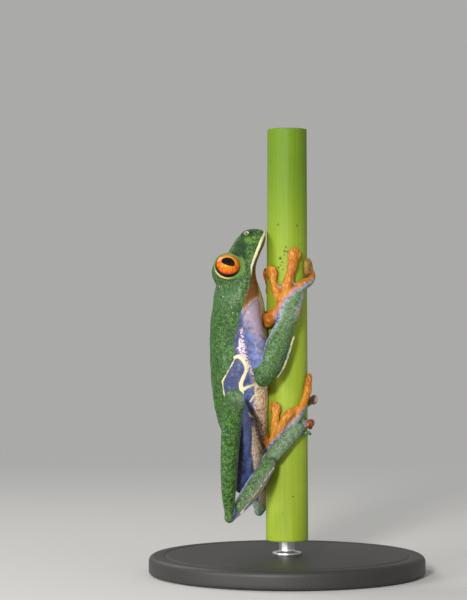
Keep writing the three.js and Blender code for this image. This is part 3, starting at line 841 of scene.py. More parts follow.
# Marks kept as distances in mm inside the mark, and marks kept as shares from 0 to 1
EDGES = ("green", "cream", "belly", "orange", "violet")
SHARES = ("lilac", "blue", "red_and_shade", "pale", "painted_shade", "pale_and_sheen", "olive_and_shade", "spotted")
UNMARKED = dict.fromkeys(EDGES, -2.0) | dict.fromkeys(SHARES, 0.0)
MARK_REACH, MARK_BLEND = 2.5, 0.22  # how far a limb's marks reach, and the width over which two limbs' marks blend

# The lower edge of the green, and the edge of the belly, as the side of the body sees them: x, z
GREEN_EDGE = [
    (-5.0, 96), (-5.9, 93.4), (-7.1, 92.2), (-7.8, 90.5), (-8.32, 88.6), (-8.6, 87.2), (-8.85, 85.3), (-9.15, 83.7),
    (-9.5, 82.3), (-9.95, 80.1), (-10.4, 79.0), (-11.0, 77.2), (-11.5, 75.5), (-12.1, 73.4), (-12.9, 71.5), (-13.5, 68),
    (-14.4, 64.5), (-14.6, 62), (-14.2, 60), (-15.4, 57.2), (-16.5, 55), (-17.6, 52.9), (-17.2, 50), (-16.4, 46),
    (-15.6, 41), (-14.5, 37), (-12.6, 32), (-11.4, 28), (-11.0, 24),
]
BELLY_EDGE = [(-12.6, 74), (-12.4, 71), (-10.4, 68), (-9.2, 62), (-8.8, 55), (-9.4, 40), (-10.5, 30), (-12.5, 24)]
SNOUT_EDGE = [(-12.0, 93), (-13.4, 91), (-14.4, 89), (-15.2, 87), (-14.8, 84), (-15.0, 80)]
# Bars and patches of cream on the flank: x, z, half width
FLANK_BARS = [
    [(-14.4, 59.5, 0.4), (-13.3, 59.7, 0.55), (-12.2, 59.0, 0.5)],
    [(-12.2, 59.0, 0.5), (-11.4, 57.4, 0.5), (-11.2, 55.9, 0.45), (-12.1, 54.0, 0.5), (-12.7, 52.4, 0.55),
     (-12.6, 51.0, 0.5), (-12.1, 49.8, 0.3)],
    [(-12.4, 50.8, 0.5), (-10.8, 51.5, 0.4), (-9.2, 52.1, 0.28), (-8.1, 52.2, 0.2)],
    [(-13.9, 60.0, 0.16), (-15.3, 57.3, 0.12), (-16.5, 55.1, 0.16), (-17.7, 52.9, 0.18), (-17.3, 49.9, 0.1),
     (-16.5, 46.0, 0.14)],
    [(-16.6, 47.2, 0.5), (-14.6, 46.6, 0.5), (-12.6, 45.0, 0.55), (-10.6, 44.2, 0.4), (-9.4, 43.2, 0.3)],
    [(-15.4, 41.2, 0.5), (-13.4, 40.4, 0.5), (-11.8, 38.6, 0.5), (-9.8, 37.4, 0.4)],
    [(-13.4, 34.6, 0.45), (-11.8, 33.6, 0.45), (-10.2, 31.8, 0.4)],
    [(-8.1, 50.2, 0.3), (-9.2, 49.0, 0.3), (-10.2, 47.5, 0.2)],
    [(-7.0, 49.9, 0.3), (-8.0, 48.4, 0.3), (-9.1, 46.7, 0.2)],
]
SPOTTED_BAND = [
    (-12.6, 67.2, 0.4), (-12.1, 64.5, 1.0), (-12.3, 61.6, 1.5), (-10.9, 59.0, 1.2), (-10.0, 57.0, 1.1),
    (-9.3, 55.3, 1.0), (-8.5, 52.9, 0.8),
]
GROIN_SHADE = [(-11.1, 47.4, 0.25), (-9.6, 44.8, 0.9), (-8.2, 41.5, 1.1), (-7.2, 37.5, 0.9), (-6.4, 34.4, 0.3)]
# Green strips that run from the wrist and the ankle over the back of the hand and foot: x, z, half width
HAND_STRIP = [
    (-0.6, 70.0, 2.3), (1.0, 73.5, 2.1), (2.9, 76.2, 1.5), (4.9, 78.1, 0.75), (6.2, 79.3, 0.45), (7.4, 80.6, 0.25),
]
FOOT_STRIP = [
    (-4.9, 31.6, 2.3), (-2.2, 34.9, 2.2), (0.6, 38.0, 2.1), (2.7, 40.3, 1.7), (4.0, 42.8, 0.9), (5.0, 45.2, 0.3),
]


def line_at(rows, z):
    """The x of a line down the body at each height, for rows of x and z from the top down."""
    x_rows, z_rows = np.array(rows)[::-1].T
    return np.interp(z, z_rows, x_rows)


def stroke(x, z, rows):
    """How far inside a brush stroke each point is."""
    best = np.full(len(x), -FAR)
    for (ax, az, ar), (bx, bz, br) in zip(rows, rows[1:]):
        dx, dz = bx - ax, bz - az
        t = np.clip(((x - ax) * dx + (z - az) * dz) / (dx * dx + dz * dz), 0, 1)
        best = np.maximum(best, ar + (br - ar) * t - np.hypot(x - ax - t * dx, z - az - t * dz))
    return best


def glow_at(x, z, spot, sizes):
    """1 at a spot of the profile, fading over its width and height."""
    return np.exp(-(((x - spot[0]) / sizes[0]) ** 2) - ((z - spot[1]) / sizes[1]) ** 2)


def round_limb(p, shape, towards=(1, 0, 0)):
    """Share along a limb, angle round it from its outer face, positive towards a direction, and half width there."""
    d, t, o = chain(p, shape["path"], shape["radii"], shape["thin"], shape["flat"], track=True)
    last = len(shape["path"]) - 1
    k = np.minimum((t * last).astype(int), last - 1)
    out = shape["thin"][k]
    across = np.cross(unit(np.diff(shape["path"], axis=0))[k], out)
    across = across * np.where(across @ np.array(towards) < 0, -1, 1)[:, None]
    angle = np.degrees(np.arctan2(np.sum(o * across, 1), np.sum(o * out, 1)))
    return d, t, angle, np.interp(t, np.linspace(0, 1, last + 1), shape["radii"])


def wrap(angle, radius, before, after):
    """Distance inside a mark that covers a limb from -before to after, in degrees round it."""
    return np.radians(np.where(angle < 0, before + angle, after - angle)) * radius


def inner_strip(angle, radius, half):
    """Distance inside a strip along a limb's inner face, with its half width in degrees."""
    return np.radians(half - np.abs(np.abs(angle) - 180)) * radius


def body_marks(p):
    """The distance to the torso, and the marks on torso and head."""
    x, y, z = p.T
    out = np.abs(y)
    flank = out > 4
    edge = line_at(GREEN_EDGE, z)
    green = edge - x
    cream = np.maximum(np.max([stroke(x, z, bar) for bar in FLANK_BARS], axis=0), UNMARKED["cream"])
    cream = np.where(flank, cream, UNMARKED["cream"])
    for part in PARTS:  # specks along the fold behind the eardrum
        for k, speck in enumerate(settle(part["ear_fold"][1:-1], skin_field)):
            cream = np.maximum(cream, 0.06 + 0.11 * math.sin(2.3 * k) - norms(p - speck))
    belly_edge = np.where(z > 74, edge - 0.7, line_at(BELLY_EDGE, z))
    blue = np.clip(0.5 + 0.6 * undulate(p * (1.4, 1, 1), 2.6, 11), 0, 1) * step(-14.5, -9.5, x)
    lilac = step(-10.8, -9.4, x) * step(49, 53, z) * step(64, 60, z)
    spotted = step(-0.25, 0.35, stroke(x, z, SPOTTED_BAND) + 0.2 * undulate(p, 1.5, 91)) * flank
    near_midline = 1 + 2.6 * step(82, 77, z)
    # throat reddish brown, darkened further as painted shade under the head
    red_and_shade = step(70, 74, z) * step(92.5, 90, z) * step(4.6, 2.6, -green - 0.25 * np.maximum(z - 80, 0))
    # painted light: the chest below the green made paler where it lies in shade
    pale_and_sheen = 0.9 * step(82, 77, z) * step(60, 66, z) * step(0, -0.8, green)
    # painted shadow: dark brown on the flank in the gap between the belly and the thigh
    groin_shadow = stroke(x, z, GROIN_SHADE) + 0.15 * undulate(p, 2.0, 92)
    snout = line_at(SNOUT_EDGE, z)
    # painted light and shade on the side of the head: the patch before the eye darkened as shade, and a paler band
    # along the jaw and a spot by the nostril painted as highlights
    cheek_shade = step(1.9, 3.4, green) * step(77, 83, z) * step(95, 93, z) * step(snout - 1.6, snout + 1.2, x)
    pale = 0.55 * np.exp(-(((green - 1.5) / 1.0) ** 2)) * step(71, 76, z) + 0.15 * undulate(p, 5, 13)
    return torso(p), dict(
        green=green,
        cream=cream,
        belly=np.maximum(x - belly_edge, (2.2 - out) * (z < 76)),
        blue=0.25 + 0.75 * blue,
        lilac=lilac,
        spotted=spotted,
        red_and_shade=red_and_shade * step(near_midline, near_midline + 2.4, out),
        olive_and_shade=step(87, 89, z) * step(94.5, 93.5, z) * step(-7.6, -6.8, x),
        pale_and_sheen=pale_and_sheen + 0.16 * glow_at(x, z, (-16, 75.5), (3.2, 3.6)) * step(0.4, 1.2, green),
        painted_shade=0.75 * step(-0.35, 0.3, groin_shadow) * flank,
        pale=pale - 0.85 * cheek_shade + 0.9 * glow_at(x, z, (-10.8, 91.4), (1.1, 0.9)),
    )


def arm_marks(p, part):
    """Distances to the pieces of one arm, and the marks on each."""
    x, y, z = p.T
    lift = off_stem(p)
    d, t, a, r = round_limb(p, part["upper_arm"])
    lilac = step(0.5, 0.1, t) + 0.75 * step(-35, 25, a) * step(0.95, 0.35, t) + 0.25 * undulate(p, 1.6, 22)
    yield d, dict(
        green=(t - 0.86) * 14,
        blue=0.45 + 0.35 * t + 0.3 * undulate(p, 2.2, 21),
        lilac=np.clip(lilac, 0, 1),
    )

    d, t, a, r = round_limb(p, part["forearm"])
    green = np.maximum(wrap(a, r, 76 - 16 * t, 98), (0.06 - t) * 40)
    pale_and_sheen = 0.08 + 0.1 * undulate(p, 2.0, 99) + 0.22 * step(0.6, 1.0, t)
    yield d, dict(
        green=green,
        violet=wrap(a, r, 110, 92),
        blue=0.75 + 0.3 * undulate(p, 1.5, 31),
        orange=np.radians(np.abs(a) - 108) * r + 0.8 * step(0.8, 1, t),
        pale=0.25 + 0.35 * t + 0.2 * undulate(p, 3, 98),
        pale_and_sheen=pale_and_sheen + 0.6 * step(1.7, 0.2, green) * step(0.35, 0.8, t) * (a < 0),
    )
    yield fringe(p, part, "forearm") - 0.12, dict(green=1.0, pale_and_sheen=1.0, cream=0.07 + 0.12 * undulate(p, 1.2, 104))

    strip = stroke(x, z, HAND_STRIP)
    lilac = 0.38 * step(-1.5, -0.2, strip) * step(0.9, 1.7, lift) * step(4.8, 2.4, x)
    for beads in part["hand_webs"]:
        lilac = np.maximum(lilac, step(0.35, 0.0, sheet_of_beads(p, beads)) * 0.85)
    yield near_hand(p, part), dict(
        orange=1.5,
        green=np.minimum(strip - 0.15, (lift - 2.1) * 1.5 + 0.5 * part["side"] * y / 6),
        violet=np.minimum(strip + 0.3 + 0.35 * undulate(p, 1.6, 93), 1.0),
        blue=0.9,
        lilac=lilac,
        olive_and_shade=0.75 * step(0.7, -0.1, pebble(p, *part["fingers"][3]["pad"])),
        pale=0.7,
        red_and_shade=0.5 * step(1.6, 0.6, lift),
        pale_and_sheen=0.26 + 0.2 * undulate(p, 1.6, 105) + 0.55 * step(1.5, 0.2, strip),
    )


def leg_marks(p, part):
    """Distances to the pieces of one leg, and the marks on each."""
    x, y, z = p.T
    lift = off_stem(p)
    left = part["side"] > 0
    d, t, a, r = round_limb(p, part["thigh"], (0, 0, -1))
    # painted shadow: deep navy and dark brown on the thigh's underside beside the shank, fainter on the left
    shade = step(102 - 55 * t, 118 - 55 * t, a) * step(166, 152, a) * (0.4 if left else 1)
    yield d, dict(
        green=np.maximum(inner_strip(a, r, 22), (t - 0.93) * 30),
        blue=(0.55 + 0.3 * undulate(p * (1, 0.4, 0.4), 2.0, 41)) * (1 - shade) - 0.6 * shade,
        painted_shade=0 if left else 0.36 * shade,
        belly=np.radians(50 - 18 * t - np.abs(a - 6)) * r - 3 * step(0.4, 0.75, t),
        violet=inner_strip(a, r, 30),
    )

    d, t, a, r = round_limb(p, part["shank"])
    green = np.maximum(wrap(a, r, 112, 80), (0.05 - t) * 50)
    knee_x, _, knee_z = part["knee"]
    # painted sheen: a pale bluish-grey glow on top of the knee
    pale_and_sheen = 1.5 * glow_at(x, z, (knee_x + 1.4, knee_z + 0.3), (2.0, 2.0))
    if left:  # pale where the heel shows beside the stem
        green, pale_and_sheen = np.maximum(green, (t - 0.9) * 30), np.maximum(pale_and_sheen, step(0.88, 0.95, t))
    yield d, dict(
        green=green,
        violet=wrap(a, r, 124, 96),
        blue=0.35 + 0.3 * undulate(p, 2.0, 51),
        pale=0.1 + 0.2 * t + 0.55 * step(0.8, 0.97, t) + 0.15 * undulate(p, 4, 94),
        pale_and_sheen=pale_and_sheen,
    )

    d, t, a, r = round_limb(p, part["tarsus"])
    line = 84 - 46 * np.sin(np.pi * np.clip(t, 0, 1)) ** 0.7
    green = np.maximum(wrap(a, r, 68, line), (0.03 - t) * 40)
    belly = np.radians(np.where(a < 0, -84 - a, a - line + 4)) * r
    # a pale bluish-grey haze along the tarsus, partly painted sheen
    pale_and_sheen = 0.12 + 0.6 * step(-60, 5, a - line) * step(0.02, 0.15, t) + 0.1 * undulate(p, 2.0, 96)
    if left:
        hazy = step(0.34, 0.16, t)
        green, belly, pale_and_sheen = np.maximum(green, 4 * hazy - 2), belly - 3 * hazy, np.maximum(pale_and_sheen, hazy)
    # the underside below the white line is olive-brown, partly painted shade
    yield d, dict(
        green=green,
        violet=np.radians(26 - np.abs(a + 85)) * r,
        blue=0.9 - 0.6 * step(95, 120, np.abs(a)),
        belly=belly,
        pale=0.75 + 0.2 * undulate(p, 2.5, 95),
        cream=np.radians(5 - np.abs(a - line)) * r - 0.08 + 0.05 * undulate(p, 1.4, 101),
        red_and_shade=0.5,
        olive_and_shade=0.8,
        pale_and_sheen=pale_and_sheen,
    )
    # painted shade in the crook between shank and tarsus
    yield chain(p, *part["heel_fold"]), dict(violet=0.8, painted_shade=0.35)
    yield fringe(p, part, "tarsus") + 0.05, dict(cream=0.1 + 0.25 * undulate(p, 2.2, 97), lilac=0.6)

    knobs = np.min([norms(p - spot) - radius for spot, radius in part["foot_beads"]], axis=0)
    strip = np.maximum(stroke(x, z - part["lower"], FOOT_STRIP), 0.35 - knobs)
    top = np.minimum(strip, (lift - 1.7) * 1.5 + 0.5 * part["side"] * y / 6)
    lilac = np.max([step(0.3, 0.0, sheet_of_beads(p, beads)) * 0.3 for beads in part["foot_webs"]], axis=0)
    tip = step(68, 72, np.degrees(np.arctan2(x, y))) * left  # the left foot's outer toe, seen past the stem
    yield near_foot(p, part), dict(
        orange=1.5,
        green=np.maximum(top, 0.3 - knobs),
        violet=np.minimum(strip + 0.5, 1.0),
        pale_and_sheen=0.5 + 0.16 * undulate(p, 1.6, 100),
        blue=0.9,
        lilac=np.maximum(lilac, 0.5 * tip),
        pale=0.9,
        # the outer toe is painted darker red as shade on its underside
        red_and_shade=np.maximum(0.55 * step(1.5, 0.5, lift), 0.9 * step(0.8, 0.1, digit_field(p, part["toes"][4]))),
        olive_and_shade=0.4 * tip,
    )


def markings(p):
    """Every mark on the skin as an attribute."""
    rows = [body_marks(p)]
    for part in PARTS:
        rows += [*arm_marks(p, part), *leg_marks(p, part)]
    distance = np.stack([rows[0][0]] + [np.where(d > MARK_REACH, 60, d) for d, _ in rows[1:]])
    weight = np.exp(-(distance - distance.min(0)) / MARK_BLEND)
    weight /= weight.sum(0)
    marks = {}
    for key, unmarked in UNMARKED.items():
        marks[key] = sum(w * np.clip(m.get(key, unmarked), -2.5, 2.5) for w, (_, m) in zip(weight, rows))

    # lips, lids and nostrils
    lip_edge, lid_gold, rim_and_snout_glint = np.full(len(p), -2.0), np.zeros(len(p)), np.zeros(len(p))
    for part in PARTS:
        lip_line = bead_row(p - (0.2, 0, 0), part["lip"], np.maximum(LIP_CREAM, 0.02))
        nostril = step(0.3, 0.08, np.abs(norms(p - part["nostril"]) - 0.6)) * 0.22 - 0.14 + 0.08 * undulate(p, 0.9, 103)
        lip_edge = np.maximum(lip_edge, np.maximum(-lip_line, nostril))
        length, angle = eye_angles(p, part)
        on_lid = np.abs(length - EYE_RADIUS) < 1.3
        low_side = (p - part["eye"]) @ unit([-0.5, 0, -0.85])
        gold = on_lid * step(LID_OPENING + 0.055, LID_OPENING + 0.03, angle) * step(1.6, 2.9, low_side)
        lid_gold = np.maximum(lid_gold, gold * step(EYE_RADIUS - 0.1, EYE_RADIUS + 0.1, length))
        rim_and_snout_glint = np.maximum(rim_and_snout_glint, on_lid * step(LID_OPENING + 0.16, LID_OPENING + 0.05, angle))
    # painted highlight: a light green spot by the nostril, carried on the lid rim's mark
    lit_snout = 0.9 * glow_at(p[:, 0], p[:, 2], (-10.8, 91.5), (0.9, 0.8)) * (marks["green"] > 0)
    return marks | dict(lip=lip_edge, lid_gold=lid_gold, rim_and_snout_glint=np.maximum(rim_and_snout_glint, lit_snout))


# ---- the pieces ----


def refine(points, faces, field, rounds, reach=0.03):
    """Evens the mesh out and brings it onto the field's surface."""
    for _ in range(rounds):
        points = points + 0.5 * (neighbour_mean(points, faces) - points)
        d = field(points)
        slope = np.stack([(field(points + e) - d) / reach for e in np.eye(3) * reach], 1)
        size = np.maximum(np.sum(slope * slope, 1), 0.3)
        points = points - slope * np.clip(d / size, -0.2, 0.2)[:, None]
    return points


def build_skin(pitch):
    points, faces = largest_shell(*draw_surface(skin_field, (-23.5, -31.0, 11.0), (10.5, 31.0, 97.5), pitch))
    points = refine(points, faces, skin_field, 2)
    normals = vertex_normals(points, faces)
    marks = markings(points)
    # folds and hollows, from how the surface lies against a smoothed copy, darkened later as painted shade
    smooth = points
    for _ in range(12):
        smooth = neighbour_mean(smooth, faces)
    marks["hollow_shade"] = np.clip(np.sum((smooth - points) * normals, 1) / 0.14, -1, 1)
    # granules on the belly and thighs, fine ones elsewhere
    marks["grain"] = step(-0.3, 0.8, marks["belly"]) * step(0.6, -0.2, marks["green"])
    height = 0.11 * marks["grain"] * pebbling(points + 0.15 * undulate(points, 3, 77)[:, None], 0.72, 3)
    height = height + 0.035 * step(0.0, 0.6, marks["green"]) * pebbling(points, 0.7, 4)
    height = height * step(0.15, -0.25, marks["lip"]) + 0.02 * undulate(points, 1.1, 6)
    points = points + normals * (height * step(0.05, 0.5, off_stem(points)))[:, None]
    return make_object("frog_skin", points, faces.tolist(), marks)


def build_eye(part):
    """A ball that faces along the gaze, closer-knit in front, with the place of its iris and pupil as attributes."""
    rings, segments, bulge = 64, 112, 0.14
    gaze = part["gaze"]
    flat = unit(np.array([1.0, 0, 0]) - gaze[0] * gaze)
    up = np.cross(flat, gaze) * part["side"]
    tilt = math.radians(-19)
    u = flat * math.cos(tilt) + up * math.sin(tilt)
    v = up * math.cos(tilt) - flat * math.sin(tilt)
    theta = np.repeat(math.pi * np.linspace(0, 1, rings + 1)[1:-1] ** 1.25, segments)
    turn = np.tile(np.linspace(0, 2 * math.pi, segments, endpoint=False), rings - 1)
    radius = EYE_RADIUS + bulge * np.exp(-((theta / math.radians(42)) ** 2))
    a, b = np.cos(turn) * np.sin(theta), np.sin(turn) * np.sin(theta)
    q = radius[:, None] * (np.outer(a, u) + np.outer(b, v) + np.outer(np.cos(theta), gaze))
    q = np.vstack([q, gaze * (EYE_RADIUS + bulge), gaze * -EYE_RADIUS])
    faces = shell_faces(rings - 1, segments)
    if part["side"] < 0:
        faces = [f[::-1] for f in faces]
    pu, pv, ahead = q @ u, q @ v, q @ gaze
    angle = np.degrees(np.arccos(np.clip(ahead / norms(q), -1, 1)))
    across = np.hypot(pu, pv) + 1e-6
    oval = np.hypot(pu / 1.95, (pv + 0.32 + 0.1 * (pu / 1.95) ** 2) / 1.22)
    attributes = dict(
        pupil=np.where(ahead > 0, (1 - oval) * 1.3, -3), iris=62.5 - angle + 0.8 * np.sin(3 * np.arctan2(pv, pu) + 1),
        streak_x=pu / across, streak_y=pv / across, out=across, upper=pv,
    )
    return make_object("eye_ball_" + part["name"], part["eye"] + q, faces, attributes)


def build_stem():
    """The cut stem: fine ribs, a slight swelling low down, and sawn ends with their pith a little sunken."""
    bevel = np.array([0, 0, 0.04, 0.16, 0.35])
    heights = np.concatenate([STEM_BOTTOM + bevel, np.arange(9.9, 121.5, 0.55), STEM_TOP - bevel[::-1]])
    radius = stem_radius(heights)
    for k, less in enumerate((0.34, 0.16, 0.04)):
        radius[[1 + k, -2 - k]] -= less
    shares = (0, 0.15, 0.3, 0.45, 0.6, 0.75, 0.86)
    rings = [(radius[0] * k, STEM_BOTTOM + 0.12 * (1 - k) ** 0.6) for k in shares]
    rings += list(zip(radius[1:-1], heights[1:-1]))
    rings += [(radius[-1] * k, STEM_TOP - 0.3 * (1 - k) ** 0.5) for k in shares[::-1]]

    def ribs(turn, z, r):
        share = np.clip(r / 5.2, 0, 1) ** 3
        wave = np.sin(9 * turn + 0.02 * z) + 0.6 * np.sin(23 * turn + 1.3 - 0.015 * z) + 0.5 * np.sin(41 * turn + 0.7)
        dents = np.sin(3 * turn + z * 0.09 + 1.0) * np.sin(z * 0.051 + 0.4)
        return share * (0.022 * (wave - 2.1) + 0.03 * (dents - 1))

    points, faces = turned(rings, 128, ribs)
    across, z = np.hypot(points[:, 0], points[:, 1]), points[:, 2]
    end = (np.abs(z - STEM_BOTTOM) < 0.14) & (across < 5.7) | (z > STEM_TOP - 0.33) & (across < 5.2)
    return make_object("stem_cut_length", points, faces, dict(cut=end.astype(float), across=across))


def build_base():
    r, h = BASE_RADIUS, BASE_HEIGHT
    profile = [
        (0, 0.0), (12, 0.0), (33.5, 0.0), (33.8, 0.04), (34.0, 0.3), (34.6, 0.3), (34.8, 0.04), (35.2, 0.0),
        (r - 0.8, 0.0), (r - 0.56, 0.07), (r - 0.24, 0.24), (r - 0.07, 0.5), (r, 0.8), (r, 1.6), (r, 2.6), (r, 3.4),
    ]
    profile += [(r - 1.6 * (1 - math.cos(a)), 3.4 + 1.6 * math.sin(a)) for a in np.linspace(0.12, math.pi / 2, 9)]
    groove = [(34.2, 0), (34.0, 0.03), (33.86, 0.2), (33.6, 0.26), (33.34, 0.2), (33.2, 0.03), (33.0, 0)]
    profile += [(at, h - deep) for at, deep in groove]
    profile += [(k, h) for k in np.arange(31, 5, -2.0)] + [(4.3, h), (0, h)]
    return make_object("stand_disc", *turned(profile, 192))


def build_rod():
    r, f, top = ROD_RADIUS, ROD_FLANGE_RADIUS, STEM_BOTTOM + 0.1
    foot = [
        (0, 0), (f - 0.12, 0), (f - 0.03, 0.05), (f, 0.14), (f, 0.55), (f - 0.06, 0.7), (f - 0.2, 0.8), (3.2, 0.8),
        (2.75, 0.82), (2.42, 0.95), (2.26, 1.2), (r, 1.5),
    ]
    profile = [(at, BASE_HEIGHT + high) for at, high in foot] + [(r, 7.2), (r, 7.9), (r, 8.6), (r, top), (0, top)]
    return make_object("stand_pin", *turned(profile, 96))


# ---- materials ----


def tint(*colour):
    """A colour from 0 to 255 as the shader wants it."""
    return tuple(c / 255 / 12.92 if c <= 10.3 else ((c / 255 + 0.055) / 1.055) ** 2.4 for c in colour) + (1,)


class Wire:
    """A shader socket that can be reckoned with."""

    def __init__(self, tree, socket):
        self.tree, self.socket = tree, socket

    def reckon(self, operation, first, second):
        return self.tree.add("ShaderNodeMath", dict(operation=operation), {0: first, 1: second})

    def __add__(self, other):
        return self.reckon("ADD", self, other)

    def __sub__(self, other):
        return self.reckon("SUBTRACT", self, other)

    def __mul__(self, other):
        return self.reckon("MULTIPLY", self, other)

    def __rsub__(self, other):
        return self.reckon("SUBTRACT", other, self)

    __radd__, __rmul__ = __add__, __mul__

    def between(self, low, high):
        """0 at `low` rising smoothly to 1 at `high`."""
        inputs = {"Value": self, "From Min": low, "From Max": high}
        return self.tree.add("ShaderNodeMapRange", dict(interpolation_type="SMOOTHSTEP"), inputs)


class Finish:
    """A material and its nodes."""

    def __init__(self, name, **uniform):
        self.material = bpy.data.materials.new(name)
        self.material.use_nodes = True
        self.nodes, self.links = self.material.node_tree.nodes, self.material.node_tree.links
        self.shader = self.nodes["Principled BSDF"]
        for key, value in uniform.items():
            self.shader.inputs[key.replace("_", " ").title().replace("Ior", "IOR")].default_value = value
        self.place = self.add("ShaderNodeTexCoord", {}, {}, "Object")

    def add(self, kind, settings, inputs, out=0):
        node = self.nodes.new(kind)
        for key, value in settings.items():
            setattr(node, key, value)
        for key, value in inputs.items():
            if isinstance(value, Wire):
                self.links.new(value.socket, node.inputs[key])
            else:
                node.inputs[key].default_value = value
        return Wire(self, node.outputs[out])

    def mark(self, name):
        return self.add("ShaderNodeAttribute", dict(attribute_name=name), {}, "Fac")

    def shifted(self, shift, stretch=(1, 1, 1)):
        return self.add("ShaderNodeMapping", {}, {"Vector": self.place, "Location": shift, "Scale": stretch})

    def noise(self, size, detail=2.0, rough=0.5, shift=(0, 0, 0), stretch=(1, 1, 1)):
        """Unevenness from 0 to 1 with features about `size` mm across."""
        place = self.shifted(shift, stretch)
        inputs = {"Vector": place, "Scale": 1000 / size, "Detail": detail, "Roughness": rough}
        return self.add("ShaderNodeTexNoise", {}, inputs, "Fac")

    def cells(self, size, feature="F1", shift=(0, 0, 0)):
        inputs = {"Vector": self.shifted(shift), "Scale": 1000 / size}
        return self.add("ShaderNodeTexVoronoi", dict(feature=feature), inputs, "Distance")

    def measure(self, operation, inputs):
        return self.add("ShaderNodeVectorMath", dict(operation=operation), inputs, "Value")

    def blend(self, share, first, second, how="MIX"):
        """Mixes two colours, each a wire or three numbers from 0 to 255."""
        first, second = (c if isinstance(c, Wire) else tint(*c) for c in (first, second))
        settings = dict(data_type="RGBA", blend_type=how, clamp_factor=True)
        return self.add("ShaderNodeMix", settings, {0: share, 6: first, 7: second}, 2)

    def coats(self, colour, *layers):
        """Lays colours over the first one, each with its share."""
        for share, over in layers:
            colour = self.blend(share, colour, over)
        return colour

    def feed(self, **inputs):
        for key, value in inputs.items():
            self.links.new(value.socket, self.shader.inputs[key.replace("_", " ").title()])

    def relief(self, height, distance):
        """Fine relief, with `height` from 0 to 1 standing for `distance` mm."""
        inputs = {"Height": height, "Distance": distance * MM, "Strength": 1.0}
        self.feed(normal=self.add("ShaderNodeBump", {}, inputs, "Normal"))


